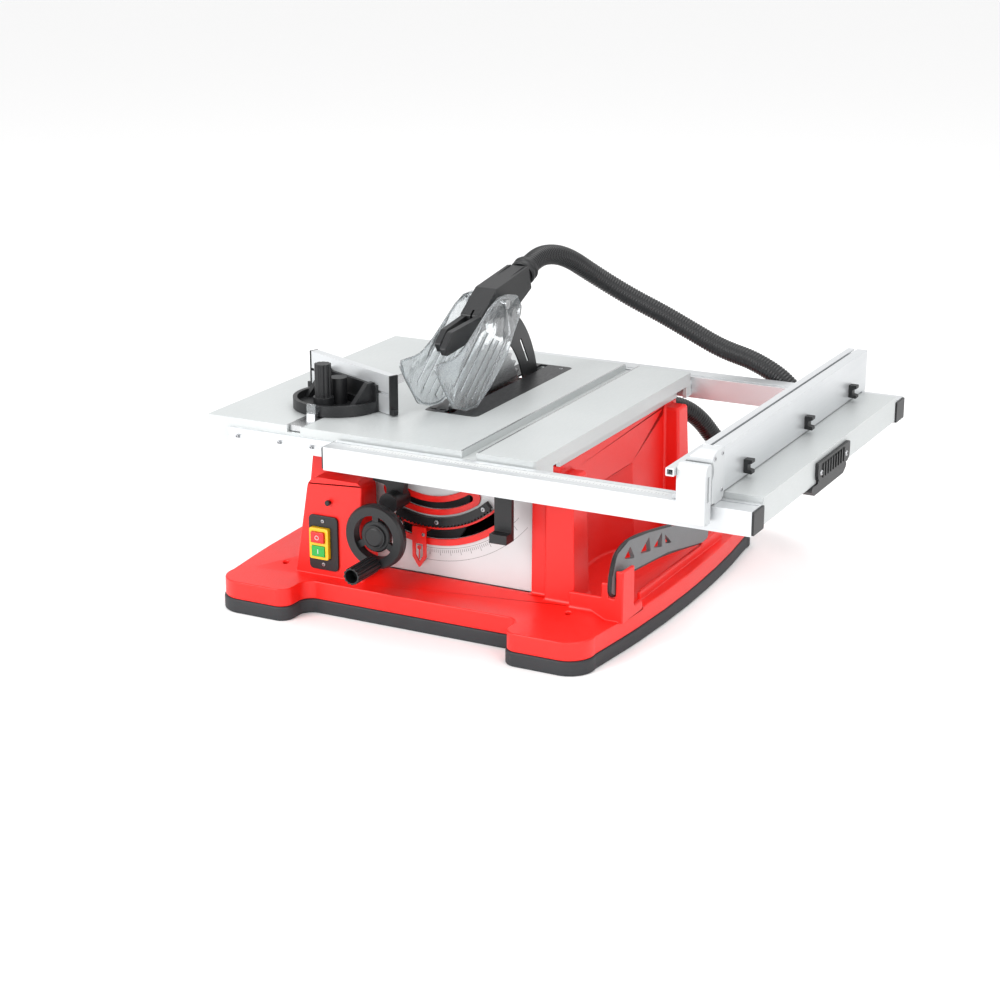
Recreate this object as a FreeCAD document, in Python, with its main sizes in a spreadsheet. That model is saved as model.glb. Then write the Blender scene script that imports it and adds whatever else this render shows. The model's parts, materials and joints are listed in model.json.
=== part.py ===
"""Bench table saw with a tilting, lifting blade, sliding rails and an extension table.

Frame: origin on the floor at the centre of the base's footprint, +X to the operator's right,
+Y away from the operator, +Z up. Millimetres.
"""
import FreeCAD, Part
import math
import os
import re

doc = FreeCAD.newDocument("table_saw")
sheet = doc.addObject("Spreadsheet::Sheet", "sizes")

driving = {
    # table
    "table_width": 540, "table_depth": 555, "table_top": 300, "table_left": -317,
    "table_front": -320, "skirt_height": 38, "skirt_wall": 6, "table_plate": 8,
    "miter_slot_width": 22, "miter_slot_depth": 10, "left_slot_x": -167, "right_slot_x": 120.5,
    "insert_width": 89, "insert_length": 331, "insert_thickness": 3, "insert_front": -156,
    "insert_ledge": 6, "kerf_slot": 13,
    # blade and splitter
    "blade_x": -7, "blade_y": -30, "blade_z": 253, "blade_radius": 127, "blade_body": 1.8,
    "blade_teeth": 40, "knife_inner": 134, "knife_outer": 183, "knife_thickness": 2.3,
    "arbor_radius": 15, "flange_radius": 30,
    # motor and cradle
    "motor_radius": 42, "motor_length": 118, "motor_drop": 45, "post_radius": 8, "post_bore": 8.06,
    "screw_radius": 7, "cradle_plate": 8,
    # guard
    "hood_width": 36, "guard_half_gap": 28, "shield_thickness": 2.5, "guard_pin_radius": 3.5,
    "guard_pivot_y": -20, "guard_pivot_z": 440,
    # hose
    "hose_radius": 16, "cuff_radius": 21, "port_radius": 28,
    # base
    "foot_front": 337, "side_end": 305, "side_mid": 323, "corner_x": 262, "side_y": 290,
    "recess_half": 178, "recess_y": 281, "recess_radius": 20, "band_height": 22, "lip_height": 50,
    "flange_top": 64, "housing_wall": 5, "bolt_hole_radius": 4.5, "bolt_span_x": 476,
    "bolt_span_y": 484,
    # front panel
    "panel_front": -206, "panel_thickness": 3, "inner_slot_radius": 127.5, "inner_slot_width": 11,
    "outer_slot_radius": 171.5, "outer_slot_width": 15, "rack_inner": 145, "rack_outer": 160,
    "wheel_radius": 49, "wheel_rim": 16, "shaft_radius": 6, "grip_radius": 13, "grip_length": 62,
    # rails and extension
    "rail_height": 34, "rail_top": 291, "rail_depth": 40, "rail_left": -90, "rail_right": 555,
    "fixed_rail_height": 24, "extension_width": 108, "extension_height": 38,
    # fence
    "fence_width": 31, "fence_height": 61, "fence_right": 501, "fence_rear": 260,
    # gauge
    "gauge_y": -194, "gauge_radius": 65, "gauge_turn": -23.3, "gauge_bar_length": 380,
    "gauge_fence_height": 60,
    # small parts
    "screw_head_radius": 3.6, "running_gap": 0.3,
}
for row, (alias, amount) in enumerate(driving.items(), start=1):
    sheet.set("A%d" % row, alias.replace("_", " "))
    sheet.set("B%d" % row, str(amount))
    sheet.setAlias("B%d" % row, alias)
doc.recompute()


class Sizes:
    """The sheet's values as plain numbers."""


size = Sizes()
for alias in driving:
    setattr(size, alias, float(sheet.get(alias)))

pieces = {}
normals = {
    "XY": FreeCAD.Vector(0, 0, 1),
    "XZ": FreeCAD.Vector(0, 1, 0),
    "YZ": FreeCAD.Vector(1, 0, 0),
}
UP = FreeCAD.Vector(0, 0, 1)
RIGHT = FreeCAD.Vector(1, 0, 0)
BACK = FreeCAD.Vector(0, 1, 0)


# ---------------------------------------------------------------- making shapes

def bind(thing, prop, amount):
    """Sets a property: a string is an expression in the sheet's names, a number is itself."""
    if isinstance(amount, str):
        formula = re.sub(r"[a-z][a-z_0-9]*", lambda found: "sizes." + found.group(0), amount)
        thing.setExpression(prop, formula)
    else:
        setattr(thing, prop, amount)


def box(name, corner, length, width, height):
    block = doc.addObject("Part::Box", name)
    bind(block, "Length", length)
    bind(block, "Width", width)
    bind(block, "Height", height)
    block.Placement.Base = FreeCAD.Vector(*corner)
    return block


def rod(name, start, radius, length, direction=UP):
    cylinder = doc.addObject("Part::Cylinder", name)
    bind(cylinder, "Radius", radius)
    bind(cylinder, "Height", length)
    turn = FreeCAD.Rotation(UP, direction)
    cylinder.Placement = FreeCAD.Placement(FreeCAD.Vector(*start), turn)
    return cylinder


def cone(name, start, radius, end_radius, length, direction=UP):
    solid = doc.addObject("Part::Cone", name)
    bind(solid, "Radius1", radius)
    bind(solid, "Radius2", end_radius)
    bind(solid, "Height", length)
    solid.Placement = FreeCAD.Placement(FreeCAD.Vector(*start), FreeCAD.Rotation(UP, direction))
    return solid


def drafted(name, low, high, bottom, top):
    """A block whose rectangle (x0, x1, y0, y1) changes evenly from low to high."""
    block = doc.addObject("Part::Wedge", name)
    block.Ymin, block.Ymax = 0, top - bottom
    block.Xmin, block.Xmax, block.Zmin, block.Zmax = low[0], low[1], -low[3], -low[2]
    block.X2min, block.X2max, block.Z2min, block.Z2max = high[0], high[1], -high[3], -high[2]
    turn = FreeCAD.Rotation(RIGHT, 90)
    block.Placement = FreeCAD.Placement(FreeCAD.Vector(0, 0, bottom), turn)
    return block


def draw(sketch, outline):
    """Draws a closed outline: points, with an arc given as (point on it, its end)."""
    start = outline[0]
    for entry in outline[1:] + [outline[0]]:
        here = FreeCAD.Vector(start[0], start[1], 0)
        if isinstance(entry[0], tuple):
            through = FreeCAD.Vector(entry[0][0], entry[0][1], 0)
            there = FreeCAD.Vector(entry[1][0], entry[1][1], 0)
            sketch.addGeometry(Part.Arc(here, through, there), False)
            start = entry[1]
        else:
            there = FreeCAD.Vector(entry[0], entry[1], 0)
            if (there - here).Length > 1e-6:
                sketch.addGeometry(Part.LineSegment(here, there), False)
            start = entry


def new_sketch(body, name, plane):
    sketch = body.newObject("Sketcher::SketchObject", name + "_sketch")
    role = plane + "_Plane"
    origin_plane = [item for item in body.Origin.OriginFeatures if item.Role == role][0]
    sketch.AttachmentSupport = [(origin_plane, "")]
    sketch.MapMode = "FlatFace"
    return sketch


def slab(name, plane, outline, start, thickness, holes=()):
    """An outline in a plane, made solid from start along +X, +Y or +Z; a hole is (u, v, radius)."""
    body = doc.addObject("PartDesign::Body", name)
    sketch = new_sketch(body, name, plane)
    draw(sketch, outline)
    for hole in holes:
        if isinstance(hole, tuple):
            centre = FreeCAD.Vector(hole[0], hole[1], 0)
            sketch.addGeometry(Part.Circle(centre, FreeCAD.Vector(0, 0, 1), hole[2]), False)
        else:
            draw(sketch, hole)
    pad = body.newObject("PartDesign::Pad", name + "_pad")
    pad.Profile = sketch
    bind(pad, "Length", thickness)
    pad.Reversed = plane == "XZ"
    body.Placement.Base = normals[plane] * start
    return body


def turned(name, profile, at, direction=UP):
    """A profile of (radius, height) points revolved about its height axis, then set along direction."""
    body = doc.addObject("PartDesign::Body", name)
    sketch = new_sketch(body, name, "XZ")
    draw(sketch, profile)
    spin = body.newObject("PartDesign::Revolution", name + "_turn")
    spin.Profile = sketch
    spin.ReferenceAxis = (sketch, ["V_Axis"])
    spin.Angle = 360
    body.Placement = FreeCAD.Placement(FreeCAD.Vector(*at), FreeCAD.Rotation(UP, direction))
    return body


def join(name, *solids):
    fused = doc.addObject("Part::MultiFuse", name)
    fused.Shapes = list(solids)
    fused.Refine = True
    return fused


def cut(name, base, *tools):
    tool = tools[0] if len(tools) == 1 else join(name + "_tools", *tools)
    left = doc.addObject("Part::Cut", name)
    left.Base = base
    left.Tool = tool
    left.Refine = True
    return left


def group(name, solids):
    """Separate solids under one name."""
    bundle = doc.addObject("Part::Compound", name)
    bundle.Links = list(solids)
    return bundle


def turn(thing, axis, degrees, about):
    """Turns a finished piece about a line through a point."""
    spin = FreeCAD.Placement(FreeCAD.Vector(), FreeCAD.Rotation(axis, degrees), FreeCAD.Vector(*about))
    thing.Placement = spin.multiply(thing.Placement)
    return thing


def piece(thing):
    """Keeps a finished sub-part for export; its file takes its label."""
    pieces[thing.Label] = thing
    return thing


def rounded(corners, radius):
    """A polygon with each corner rounded; radius is one number or one per corner."""
    count = len(corners)
    radii = radius if isinstance(radius, (list, tuple)) else [radius] * count
    outline = []
    for index, (here, corner_radius) in enumerate(zip(corners, radii)):
        corner = FreeCAD.Vector(here[0], here[1], 0)
        before = FreeCAD.Vector(*corners[index - 1], 0) - corner
        after = FreeCAD.Vector(*corners[(index + 1) % count], 0) - corner
        before.normalize()
        after.normalize()
        if corner_radius <= 0:
            outline.append((corner.x, corner.y))
            continue
        half = before.getAngle(after) / 2
        first = corner + before * (corner_radius / math.tan(half))
        last = corner + after * (corner_radius / math.tan(half))
        middle = before + after
        middle.normalize()
        middle = corner + middle * (corner_radius / math.sin(half) - corner_radius)
        outline.append((first.x, first.y))
        outline.append(((middle.x, middle.y), (last.x, last.y)))
    return outline


def rectangle(x0, x1, y0, y1, radius=0):
    corners = [(x0, y0), (x1, y0), (x1, y1), (x0, y1)]
    return rounded(corners, radius) if radius else corners


def on_circle(centre, radius, degrees):
    """A point of a circle in a plane, the angle counted from straight down towards +X."""
    angle = math.radians(degrees)
    return (centre[0] + radius * math.sin(angle), centre[1] - radius * math.cos(angle))


def sector(centre, inner, outer, start, end, round_ends=False):
    """A ring sector between two angles from straight down, with square or round ends."""
    middle = (start + end) / 2
    spread = math.degrees((outer - inner) / (outer + inner)) if round_ends else 0
    mean = (inner + outer) / 2
    first = on_circle(centre, inner, start)
    outline = [first, (on_circle(centre, inner, middle), on_circle(centre, inner, end))]
    if round_ends:
        outline.append((on_circle(centre, mean, end + spread), on_circle(centre, outer, end)))
    else:
        outline.append(on_circle(centre, outer, end))
    outline.append((on_circle(centre, outer, middle), on_circle(centre, outer, start)))
    if round_ends:
        outline.append((on_circle(centre, mean, start - spread), first))
    return outline


def fluted(radius, depth, count):
    """A round outline with scalloped finger grooves."""
    step = 2 * math.pi / count
    outline = []
    for index in range(count):
        angle = index * step
        at = [(radius * math.cos(angle + part * step), radius * math.sin(angle + part * step))
              for part in (0, 0.45)]
        groove = angle + 0.725 * step
        low = ((radius - depth) * math.cos(groove), (radius - depth) * math.sin(groove))
        crest = angle + 0.225 * step
        high = (radius * math.cos(crest), radius * math.sin(crest))
        end = (radius * math.cos(angle + step), radius * math.sin(angle + step))
        if not outline:
            outline.append(at[0])
        outline.append((high, at[1]))
        outline.append((low, end))
    return outline


# ---------------------------------------------------------------- places

table_right = size.table_left + size.table_width
table_back = size.table_front + size.table_depth
under_table = size.table_top - size.skirt_height
plate_bottom = size.table_top - size.table_plate
tilt_axis = (size.blade_x, size.table_top)
panel_back = size.panel_front + size.panel_thickness
slope_angle = 17.3
shaft_x, shaft_z = on_circle(tilt_axis, size.outer_slot_radius, -slope_angle)
lock_x, lock_z = on_circle(tilt_axis, size.inner_slot_radius, -20.3)
wheel_front = -284.0
wheel_back = wheel_front + size.wheel_rim
extension_left = size.rail_right - size.extension_width + 1
motor_z = size.blade_z - size.motor_drop
screw_y = -164.0
port_x, port_z = 72.0, 212.0
branch_way = FreeCAD.Vector(0.75, 0.66, 0)
insert_centre = (size.table_left + 317 + 0.3, size.insert_front + size.insert_length / 2)


# ---------------------------------------------------------------- base

def footprint(inset):
    """The barrel-shaped footprint with its front recess, moved in by inset."""
    front = size.foot_front - inset
    recess = size.recess_half + inset
    depth = size.recess_y - inset
    radius = size.recess_radius
    corner = size.corner_x - inset / 2
    end = size.side_end - inset
    bend = radius * (1 - math.sqrt(0.5))
    half_front = [
        ((recess + bend, -front + bend), (recess + radius, -front)),
        (corner, -front),
        ((end - 10, -front + 12), (end, -size.side_y + inset / 2)),
        ((size.side_mid - inset, 0), (end, size.side_y - inset / 2)),
        ((end - 10, front - 12), (corner, front)),
        (-corner, front),
        ((-end + 10, front - 12), (-end, size.side_y - inset / 2)),
        ((-size.side_mid + inset, 0), (-end, -size.side_y + inset / 2)),
        ((-end + 10, -front + 12), (-corner, -front)),
        (-recess - radius, -front),
        ((-recess - bend, -front + bend), (-recess, -front + radius)),
        (-recess, -depth - radius),
        ((-recess + bend, -depth - bend), (-recess + radius, -depth)),
        (recess - radius, -depth),
        ((recess - bend, -depth - bend), (recess, -depth - radius)),
    ]
    return [(recess, -front + radius)] + half_front


def make_plinth():
    """Dark band round the foot: a ring under the red housing."""
    inner = rectangle(-258, 258, -260, 300, 30)
    piece(slab("base_plinth", "XY", footprint(0), 0, "band_height", [inner]))


def make_housing():
    """The one-piece red moulding: foot flange, drafted box, switch box, pillars and storage bay."""
    flange = slab("housing_flange", "XY", footprint(1.5), size.band_height, "lip_height - band_height")
    crown = drafted("housing_crown", (-285, 292, -272, 322), (-222, 262, -214, 250),
                    size.lip_height - 1, size.flange_top)
    shell = drafted("housing_shell", (-213, 212, -213, 216), (-193, 208, -211, 212),
                    size.lip_height - 1, under_table)
    switch_wedge = doc.addObject("Part::Wedge", "switch_wedge")
    switch_wedge.Ymin, switch_wedge.Ymax = -258, size.panel_front + 2
    switch_wedge.Xmin, switch_wedge.Xmax, switch_wedge.Zmin, switch_wedge.Zmax = -212, -93, 50, 206
    switch_wedge.X2min, switch_wedge.X2max, switch_wedge.Z2min, switch_wedge.Z2max = -216, -84, 50, 216
    tower_face = rounded([(-211, 45), (-90, 45), (-92, 213), (-184, 204)], [1, 1, 20, 20])
    tower_shape = slab("tower_shape", "XZ", tower_face, -270, 80)
    switch_box = doc.addObject("Part::MultiCommon", "switch_box")
    switch_box.Shapes = [switch_wedge, tower_shape]
    front_pillar = drafted("front_pillar", (190, 238, -222, -168), (190, 233, -220, -172), 56, 250)
    rear_pillar = drafted("rear_pillar", (190, 240, 160, 205), (190, 232, 164, 200), 56, 258)
    left_pillar = drafted("left_pillar", (-216, -150, -230, -170), (-194, -150, -222, -170), 50, under_table)
    holder_face = box("holder_face", (232, -229, 48), 75, 5, 36)
    holder_posts = [
        box("holder_post_%d" % number, (x, -229, 48), width, 5, height)
        for number, (x, width, height) in enumerate([(283, 11, 58), (305, 12, 78)])
    ]
    holder_side = slab("holder_side", "YZ",
                       [(-229, 48), (-158, 48), (-166, 124), (-222, 126), (-229, 126)], 311, 6)
    ridge = box("bay_ridge", (296, -132, 48), 6, 320, 20)
    outside = join("housing_outside", flange, crown, shell, switch_box, front_pillar, rear_pillar,
                   left_pillar, holder_face, *holder_posts, holder_side, ridge)

    wall = size.housing_wall
    hollow = drafted("housing_hollow", (-207, 178, -207 + 1, 209), (-187, 178, -206 + 1, 206), 20, 270)
    upper_hollow = box("upper_hollow", (170, -205, 200), 32, 411, 80)
    underside = slab("housing_underside", "XY", footprint(10), size.band_height - 1, 19)
    window = box("panel_window", (-178, -216, size.flange_top), 342, 14, 240)
    switch_hollow = box("switch_hollow", (-184, -252, 62), 54, 60, 116)
    bay = rod("bay_hollow", (334, -40, size.flange_top), 150, 136)
    bay_trim = box("bay_trim", (238, -168, 200), 100, 240, 80)
    bolt_holes = [
        rod("bench_hole_%d%d" % (i, j), (i * size.bolt_span_x / 2, j * size.bolt_span_y / 2, 0),
            "bolt_hole_radius", 90)
        for i in (-1, 1) for j in (-1, 1)
    ]
    bosses = [
        rod("bench_boss_%d%d" % (i, j),
            (i * size.bolt_span_x / 2, j * size.bolt_span_y / 2, 0), 12, 48)
        for i in (-1, 1) for j in (-1, 1)
    ]
    rear_port = rod("port_hole", (port_x, 190, port_z), size.port_radius - 0.7, 60, BACK)
    inlet_hole = rod("inlet_hole", (-150, 190, 110), 9, 60, BACK)
    button_hole = rod("reset_hole", (-148, -262, 170), 2.4, 16, BACK)
    switch_window = box("switch_window", (-177, -262, 83), 29, 12, 45)
    carved = cut("housing_carved", outside, hollow, upper_hollow, underside, window, switch_hollow,
                 bay, bay_trim, rear_port, inlet_hole, button_hole, switch_window)
    braced = join("housing_braced", carved, *bosses)
    piece(cut("base_housing", braced, *bolt_holes))


def make_panel():
    """Silver front panel with its two arc slots, their red borders and the toothed bevel rack."""
    inner_half = size.inner_slot_width / 2
    outer_half = size.outer_slot_width / 2
    slots = [
        sector(tilt_axis, size.inner_slot_radius - inner_half, size.inner_slot_radius + inner_half,
               -27, 32.5, True),
        sector(tilt_axis, size.outer_slot_radius - outer_half, size.outer_slot_radius + outer_half,
               -24, 43, True),
    ]
    face = rounded([(-178, 64), (163.5, 64), (163.5, 262), (-178, 262)], [2, 2, 0, 0])
    piece(slab("front_panel", "XZ", face, size.panel_front, "panel_thickness", slots))
    border = 3.0
    borders = []
    spans = [(113, 142, -29, 34), (160.6, 189, -26, 44.5)]
    for number, ((inner, outer, start, end), slot) in enumerate(zip(spans, slots)):
        outline = sector(tilt_axis, inner, outer, start, end, True)
        borders.append(slab("slot_border_%d" % number, "XZ", outline, size.panel_front - border,
                            border, [slot]))
    piece(group("slot_rings", borders))
    band = sector(tilt_axis, size.rack_inner, size.rack_outer - 3, -20, 42)
    rack_front = size.panel_front - 8
    blank = slab("rack_band", "XZ", band, rack_front, 8)
    teeth = []
    tooth_pitch = 2.2
    for number in range(28):
        middle = -19 + number * tooth_pitch
        outline = [on_circle(tilt_axis, size.rack_outer - 4, middle - 0.7),
                   on_circle(tilt_axis, size.rack_outer - 4, middle + 0.7),
                   on_circle(tilt_axis, size.rack_outer, middle + 0.35),
                   on_circle(tilt_axis, size.rack_outer, middle - 0.35)]
        teeth.append(slab("rack_tooth_%d" % number, "XZ", outline, rack_front, 6))
    piece(join("tilt_rack", blank, *teeth))


def make_switch():
    """Switch plate, yellow switch body, both push buttons, the reset button and the base's screws."""
    plate_front = -262.0
    plate = rectangle(-183, -133, 63, 148, 7)
    piece(slab("switch_plate", "XZ", plate, plate_front, 4 - size.running_gap / 3,
               [rectangle(-179, -146, 81, 130)]))
    ring = rectangle(-178.7, -146.3, 81.3, 129.7, 3)
    wells = [rectangle(-174.5, -151.5, 107.5, 124.5, 1), rectangle(-174.5, -151.5, 85.5, 102.5, 1)]
    body_front = plate_front - 6
    face = slab("switch_face", "XZ", ring, body_front, 9, wells)
    back = box("switch_back", (-176, body_front + 9, 84), 27, 22, 43)
    piece(join("switch_body", face, back))
    buttons = {"stop_button": (107.8, 4), "start_button": (85.8, 2)}
    for name, (low, proud) in buttons.items():
        outline = rectangle(-174.2, -151.8, low, low + 16.4, 1)
        piece(slab(name, "XZ", outline, body_front - proud, proud + 5))
    cap = turned("reset_button", [(0, 0), (2, 0), (2, 8), (4.2, 8), (4.2, 12), (3, 13), (0, 13)],
                 (-148, -253, 170), BACK.negative())
    piece(cap)
    heads = []
    places = [(-158, plate_front, 72), (-158, plate_front, 140)]
    for angle in (6, 38):
        x, z = on_circle(tilt_axis, (size.rack_inner + size.rack_outer) / 2 - 1, angle)
        places.append((x, size.panel_front - 8, z))
    for number, at in enumerate(places):
        heads.append(rod("screw_head_%d" % number, at, "screw_head_radius", 2, BACK.negative()))
    piece(group("base_screws", heads))


# ---------------------------------------------------------------- table

def make_table():
    """Cast table: thin plate, deep skirt, mitre slots with their channels, and the insert's recess."""
    left, front, top = size.table_left, size.table_front, size.table_top
    outline = rectangle(left, table_right, front, table_back, 4)
    plate = slab("table_plate_solid", "XY", outline, plate_bottom, "table_plate")
    skirt = slab("table_skirt", "XY", outline, under_table, "skirt_height",
                 [rectangle(left + size.skirt_wall, table_right - size.skirt_wall,
                            front + size.skirt_wall, table_back - size.skirt_wall)])
    channels = [
        box("slot_channel_%d" % number, (x - 16, front, top - 17), 32, "table_depth", 17)
        for number, x in enumerate((size.left_slot_x, size.right_slot_x))
    ]
    frame_wall = box("insert_frame", (insert_centre[0] - 48, size.insert_front - 5, top - 16),
                     96, "insert_length + 10", 16)
    ribs = [
        box("table_seat_%d" % number, (x, -212, under_table), width, 424, 34)
        for number, (x, width) in enumerate([(-194, 6), (202.5, 6)])
    ]
    ears = []
    for number, x in enumerate((117.5, 152.5)):
        ear = box("lock_ear_%d" % number, (x, -256, 245), 6, 16, 50)
        ears.append(ear)
    ear_bore = rod("lock_ear_bore", (110, -248, 255), 3.05, 60, RIGHT)
    solid = join("table_solid", plate, skirt, frame_wall, *channels, *ribs, *ears)
    slots = [
        box("slot_cut_%d" % number, (x - size.miter_slot_width / 2, front - 1, top - size.miter_slot_depth),
            "miter_slot_width", "table_depth + 2", 20)
        for number, x in enumerate((size.left_slot_x, size.right_slot_x))
    ]
    recess = slab("insert_recess", "XY",
                  rectangle(insert_centre[0] - size.insert_width / 2 - 0.3,
                            insert_centre[0] + size.insert_width / 2 + 0.3,
                            size.insert_front - 0.3, size.insert_front + size.insert_length + 0.3, 9),
                  top - 3.3, 10)
    opening = box("insert_opening",
                  (insert_centre[0] - size.insert_width / 2 + size.insert_ledge,
                   size.insert_front + 1.5, under_table - 5),
                  "insert_width - 2 * insert_ledge", "insert_length - 1.5 - insert_ledge", 60)
    side_cut = box("side_skirt_cut", (table_right - 8, front + 56, under_table - 1), 20, 480, 19)
    piece(cut("main_table", solid, recess, opening, side_cut, ear_bore, *slots))


def make_insert():
    """Dark steel throat plate with the kerf slot and two finger slots."""
    x, y = insert_centre
    half_width = size.insert_width / 2
    front = size.insert_front
    back = front + size.insert_length
    outline = rectangle(x - half_width, x + half_width, front, back, 9)
    slot = rectangle(size.blade_x - 4, size.blade_x + 9, front + 3, back - 4, 2)
    fingers = [rectangle(x - 42, x - 30, front + 12, front + 17, 2),
               rectangle(x - 25, x - 13, front + 12, front + 17, 2)]
    plate = slab("table_insert", "XY", outline, size.table_top - size.insert_thickness,
                 "insert_thickness", [slot, *fingers])
    piece(plate)


def make_fixed_rails():
    """Grooved extrusions screwed to the table's front and back that the sliding rails run on."""
    profiles = {
        "front_fixed_rail": (size.table_front, -1),
        "rear_fixed_rail": (table_back, 1),
    }
    for name, (face, side) in profiles.items():
        u = [face + side * depth for depth in (0, 4.7, 4.7, 2.2, 2.2, 4.7, 4.7, 0)]
        v = [286, 286, 278, 278, 272, 272, 262, 262]
        rail = slab(name, "YZ", list(zip(u, v)), -278, 500)
        piece(rail)


def make_trunnions():
    """Cast quadrants hung under the table at the front and back; the cradle swings on them."""
    for name, y in (("front_trunnion", -198.0), ("rear_trunnion", 170.0)):
        arc = slab(name + "_arc", "XZ", sector(tilt_axis, 62, 108, -58, 58), y, 8)
        feet = [
            box(name + "_foot_%d" % number, (x, y, plate_bottom - 60), 26, 8, 60)
            for number, x in enumerate((size.blade_x - 100, size.blade_x + 74))
        ]
        piece(join(name, arc, *feet))


def make_rear_fittings():
    """Dust port on the back wall and the mains inlet's gland."""
    tube = rod("port_tube", (port_x, 207, port_z), "port_radius - 1", 105, BACK)
    spigot = rod("port_spigot", (port_x, 311.5, port_z), 25, 28.5, BACK)
    flange = rod("port_flange", (port_x, 216.5, port_z), "port_radius + 8", 5, BACK)
    branch_root = (port_x, 261, port_z + 6)
    branch = rod("port_branch", branch_root, "hose_radius + 3", 58, branch_way)
    bore = rod("port_bore", (port_x, 206, port_z), 22, 136, BACK)
    branch_bore = rod("port_branch_bore", branch_root, "hose_radius + 0.2", 70, branch_way)
    outside = join("port_outside", tube, spigot, flange, branch)
    piece(cut("dust_port", outside, bore, branch_bore))
    piece(turned("mains_gland", [(4.5, 0), (8.8, 0), (8.8, 8), (13, 8), (13, 18), (9, 22), (7, 44),
                                 (4.5, 44)], (-150, 208.6, 110), BACK))


# ---------------------------------------------------------------- tilting cradle

def make_cradle():
    """Frame that swings about the table-top line: two end plates, two beams and the front bosses."""
    x = size.blade_x
    plates = []
    outline = rounded([(x - 62, 262), (x + 14, 262), (x + 58, 218), (x + 58, 150), (x + 4, 66),
                       (x - 62, 66)], 8)
    for name, y in (("front", -188.0), ("rear", 158.0)):
        plates.append(slab("cradle_" + name, "XZ", outline, y, "cradle_plate"))
    low_beam = box("cradle_low_beam", (x - 58, -181, 66), 44, 340, 10)
    side_beam = box("cradle_side_beam", (x + 45, -181, 152), 12, 340, 20)
    solid = join("cradle_solid", *plates, low_beam, side_beam)
    post_bores = [rod("cradle_bore_%d" % number, (x - 41, y, 60), "post_radius + 0.02", 200)
                  for number, y in enumerate((-135, 75))]
    screw_bore = rod("cradle_screw_bore", (x - 41, screw_y, 60), "screw_radius + 0.05", 200)
    shaft_bore = rod("cradle_shaft_bore", (shaft_x, -195, shaft_z), "shaft_radius + 0.05", 30, BACK)
    lock_bore = rod("cradle_lock_bore", (lock_x, -195, lock_z), 4.55, 30, BACK)
    piece(cut("tilt_cradle", solid, *post_bores, screw_bore, shaft_bore, lock_bore))
    posts = [rod("guide_post_%d" % number, (x - 41, y, 66), "post_radius", 192)
             for number, y in enumerate((-135, 75))]
    piece(group("guide_posts", posts))
    thread = rod("lift_thread", (x - 41, screw_y, 62), "screw_radius", 196)
    gear = cone("lift_gear", (x - 41, screw_y, 113), 14, 10, 10)
    piece(join("lift_screw", thread, gear))
    neck_x, neck_z = on_circle(tilt_axis, size.outer_slot_radius, -3.5)
    neck = rod("pointer_neck", (neck_x, -214, neck_z), 3, 26, BACK)
    flag_outline = [(-31, 139), (-8, 139), (-8, 92), (-19.5, 75), (-31, 92)]
    window = [(-26, 113), (-13, 113), (-13, 95), (-19.5, 84), (-26, 95)]
    flag = slab("pointer_flag", "XZ", rounded(flag_outline, 2), -217, 3, [rounded(window, 1.5)])
    piece(join("tilt_pointer", flag, neck))


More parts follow.
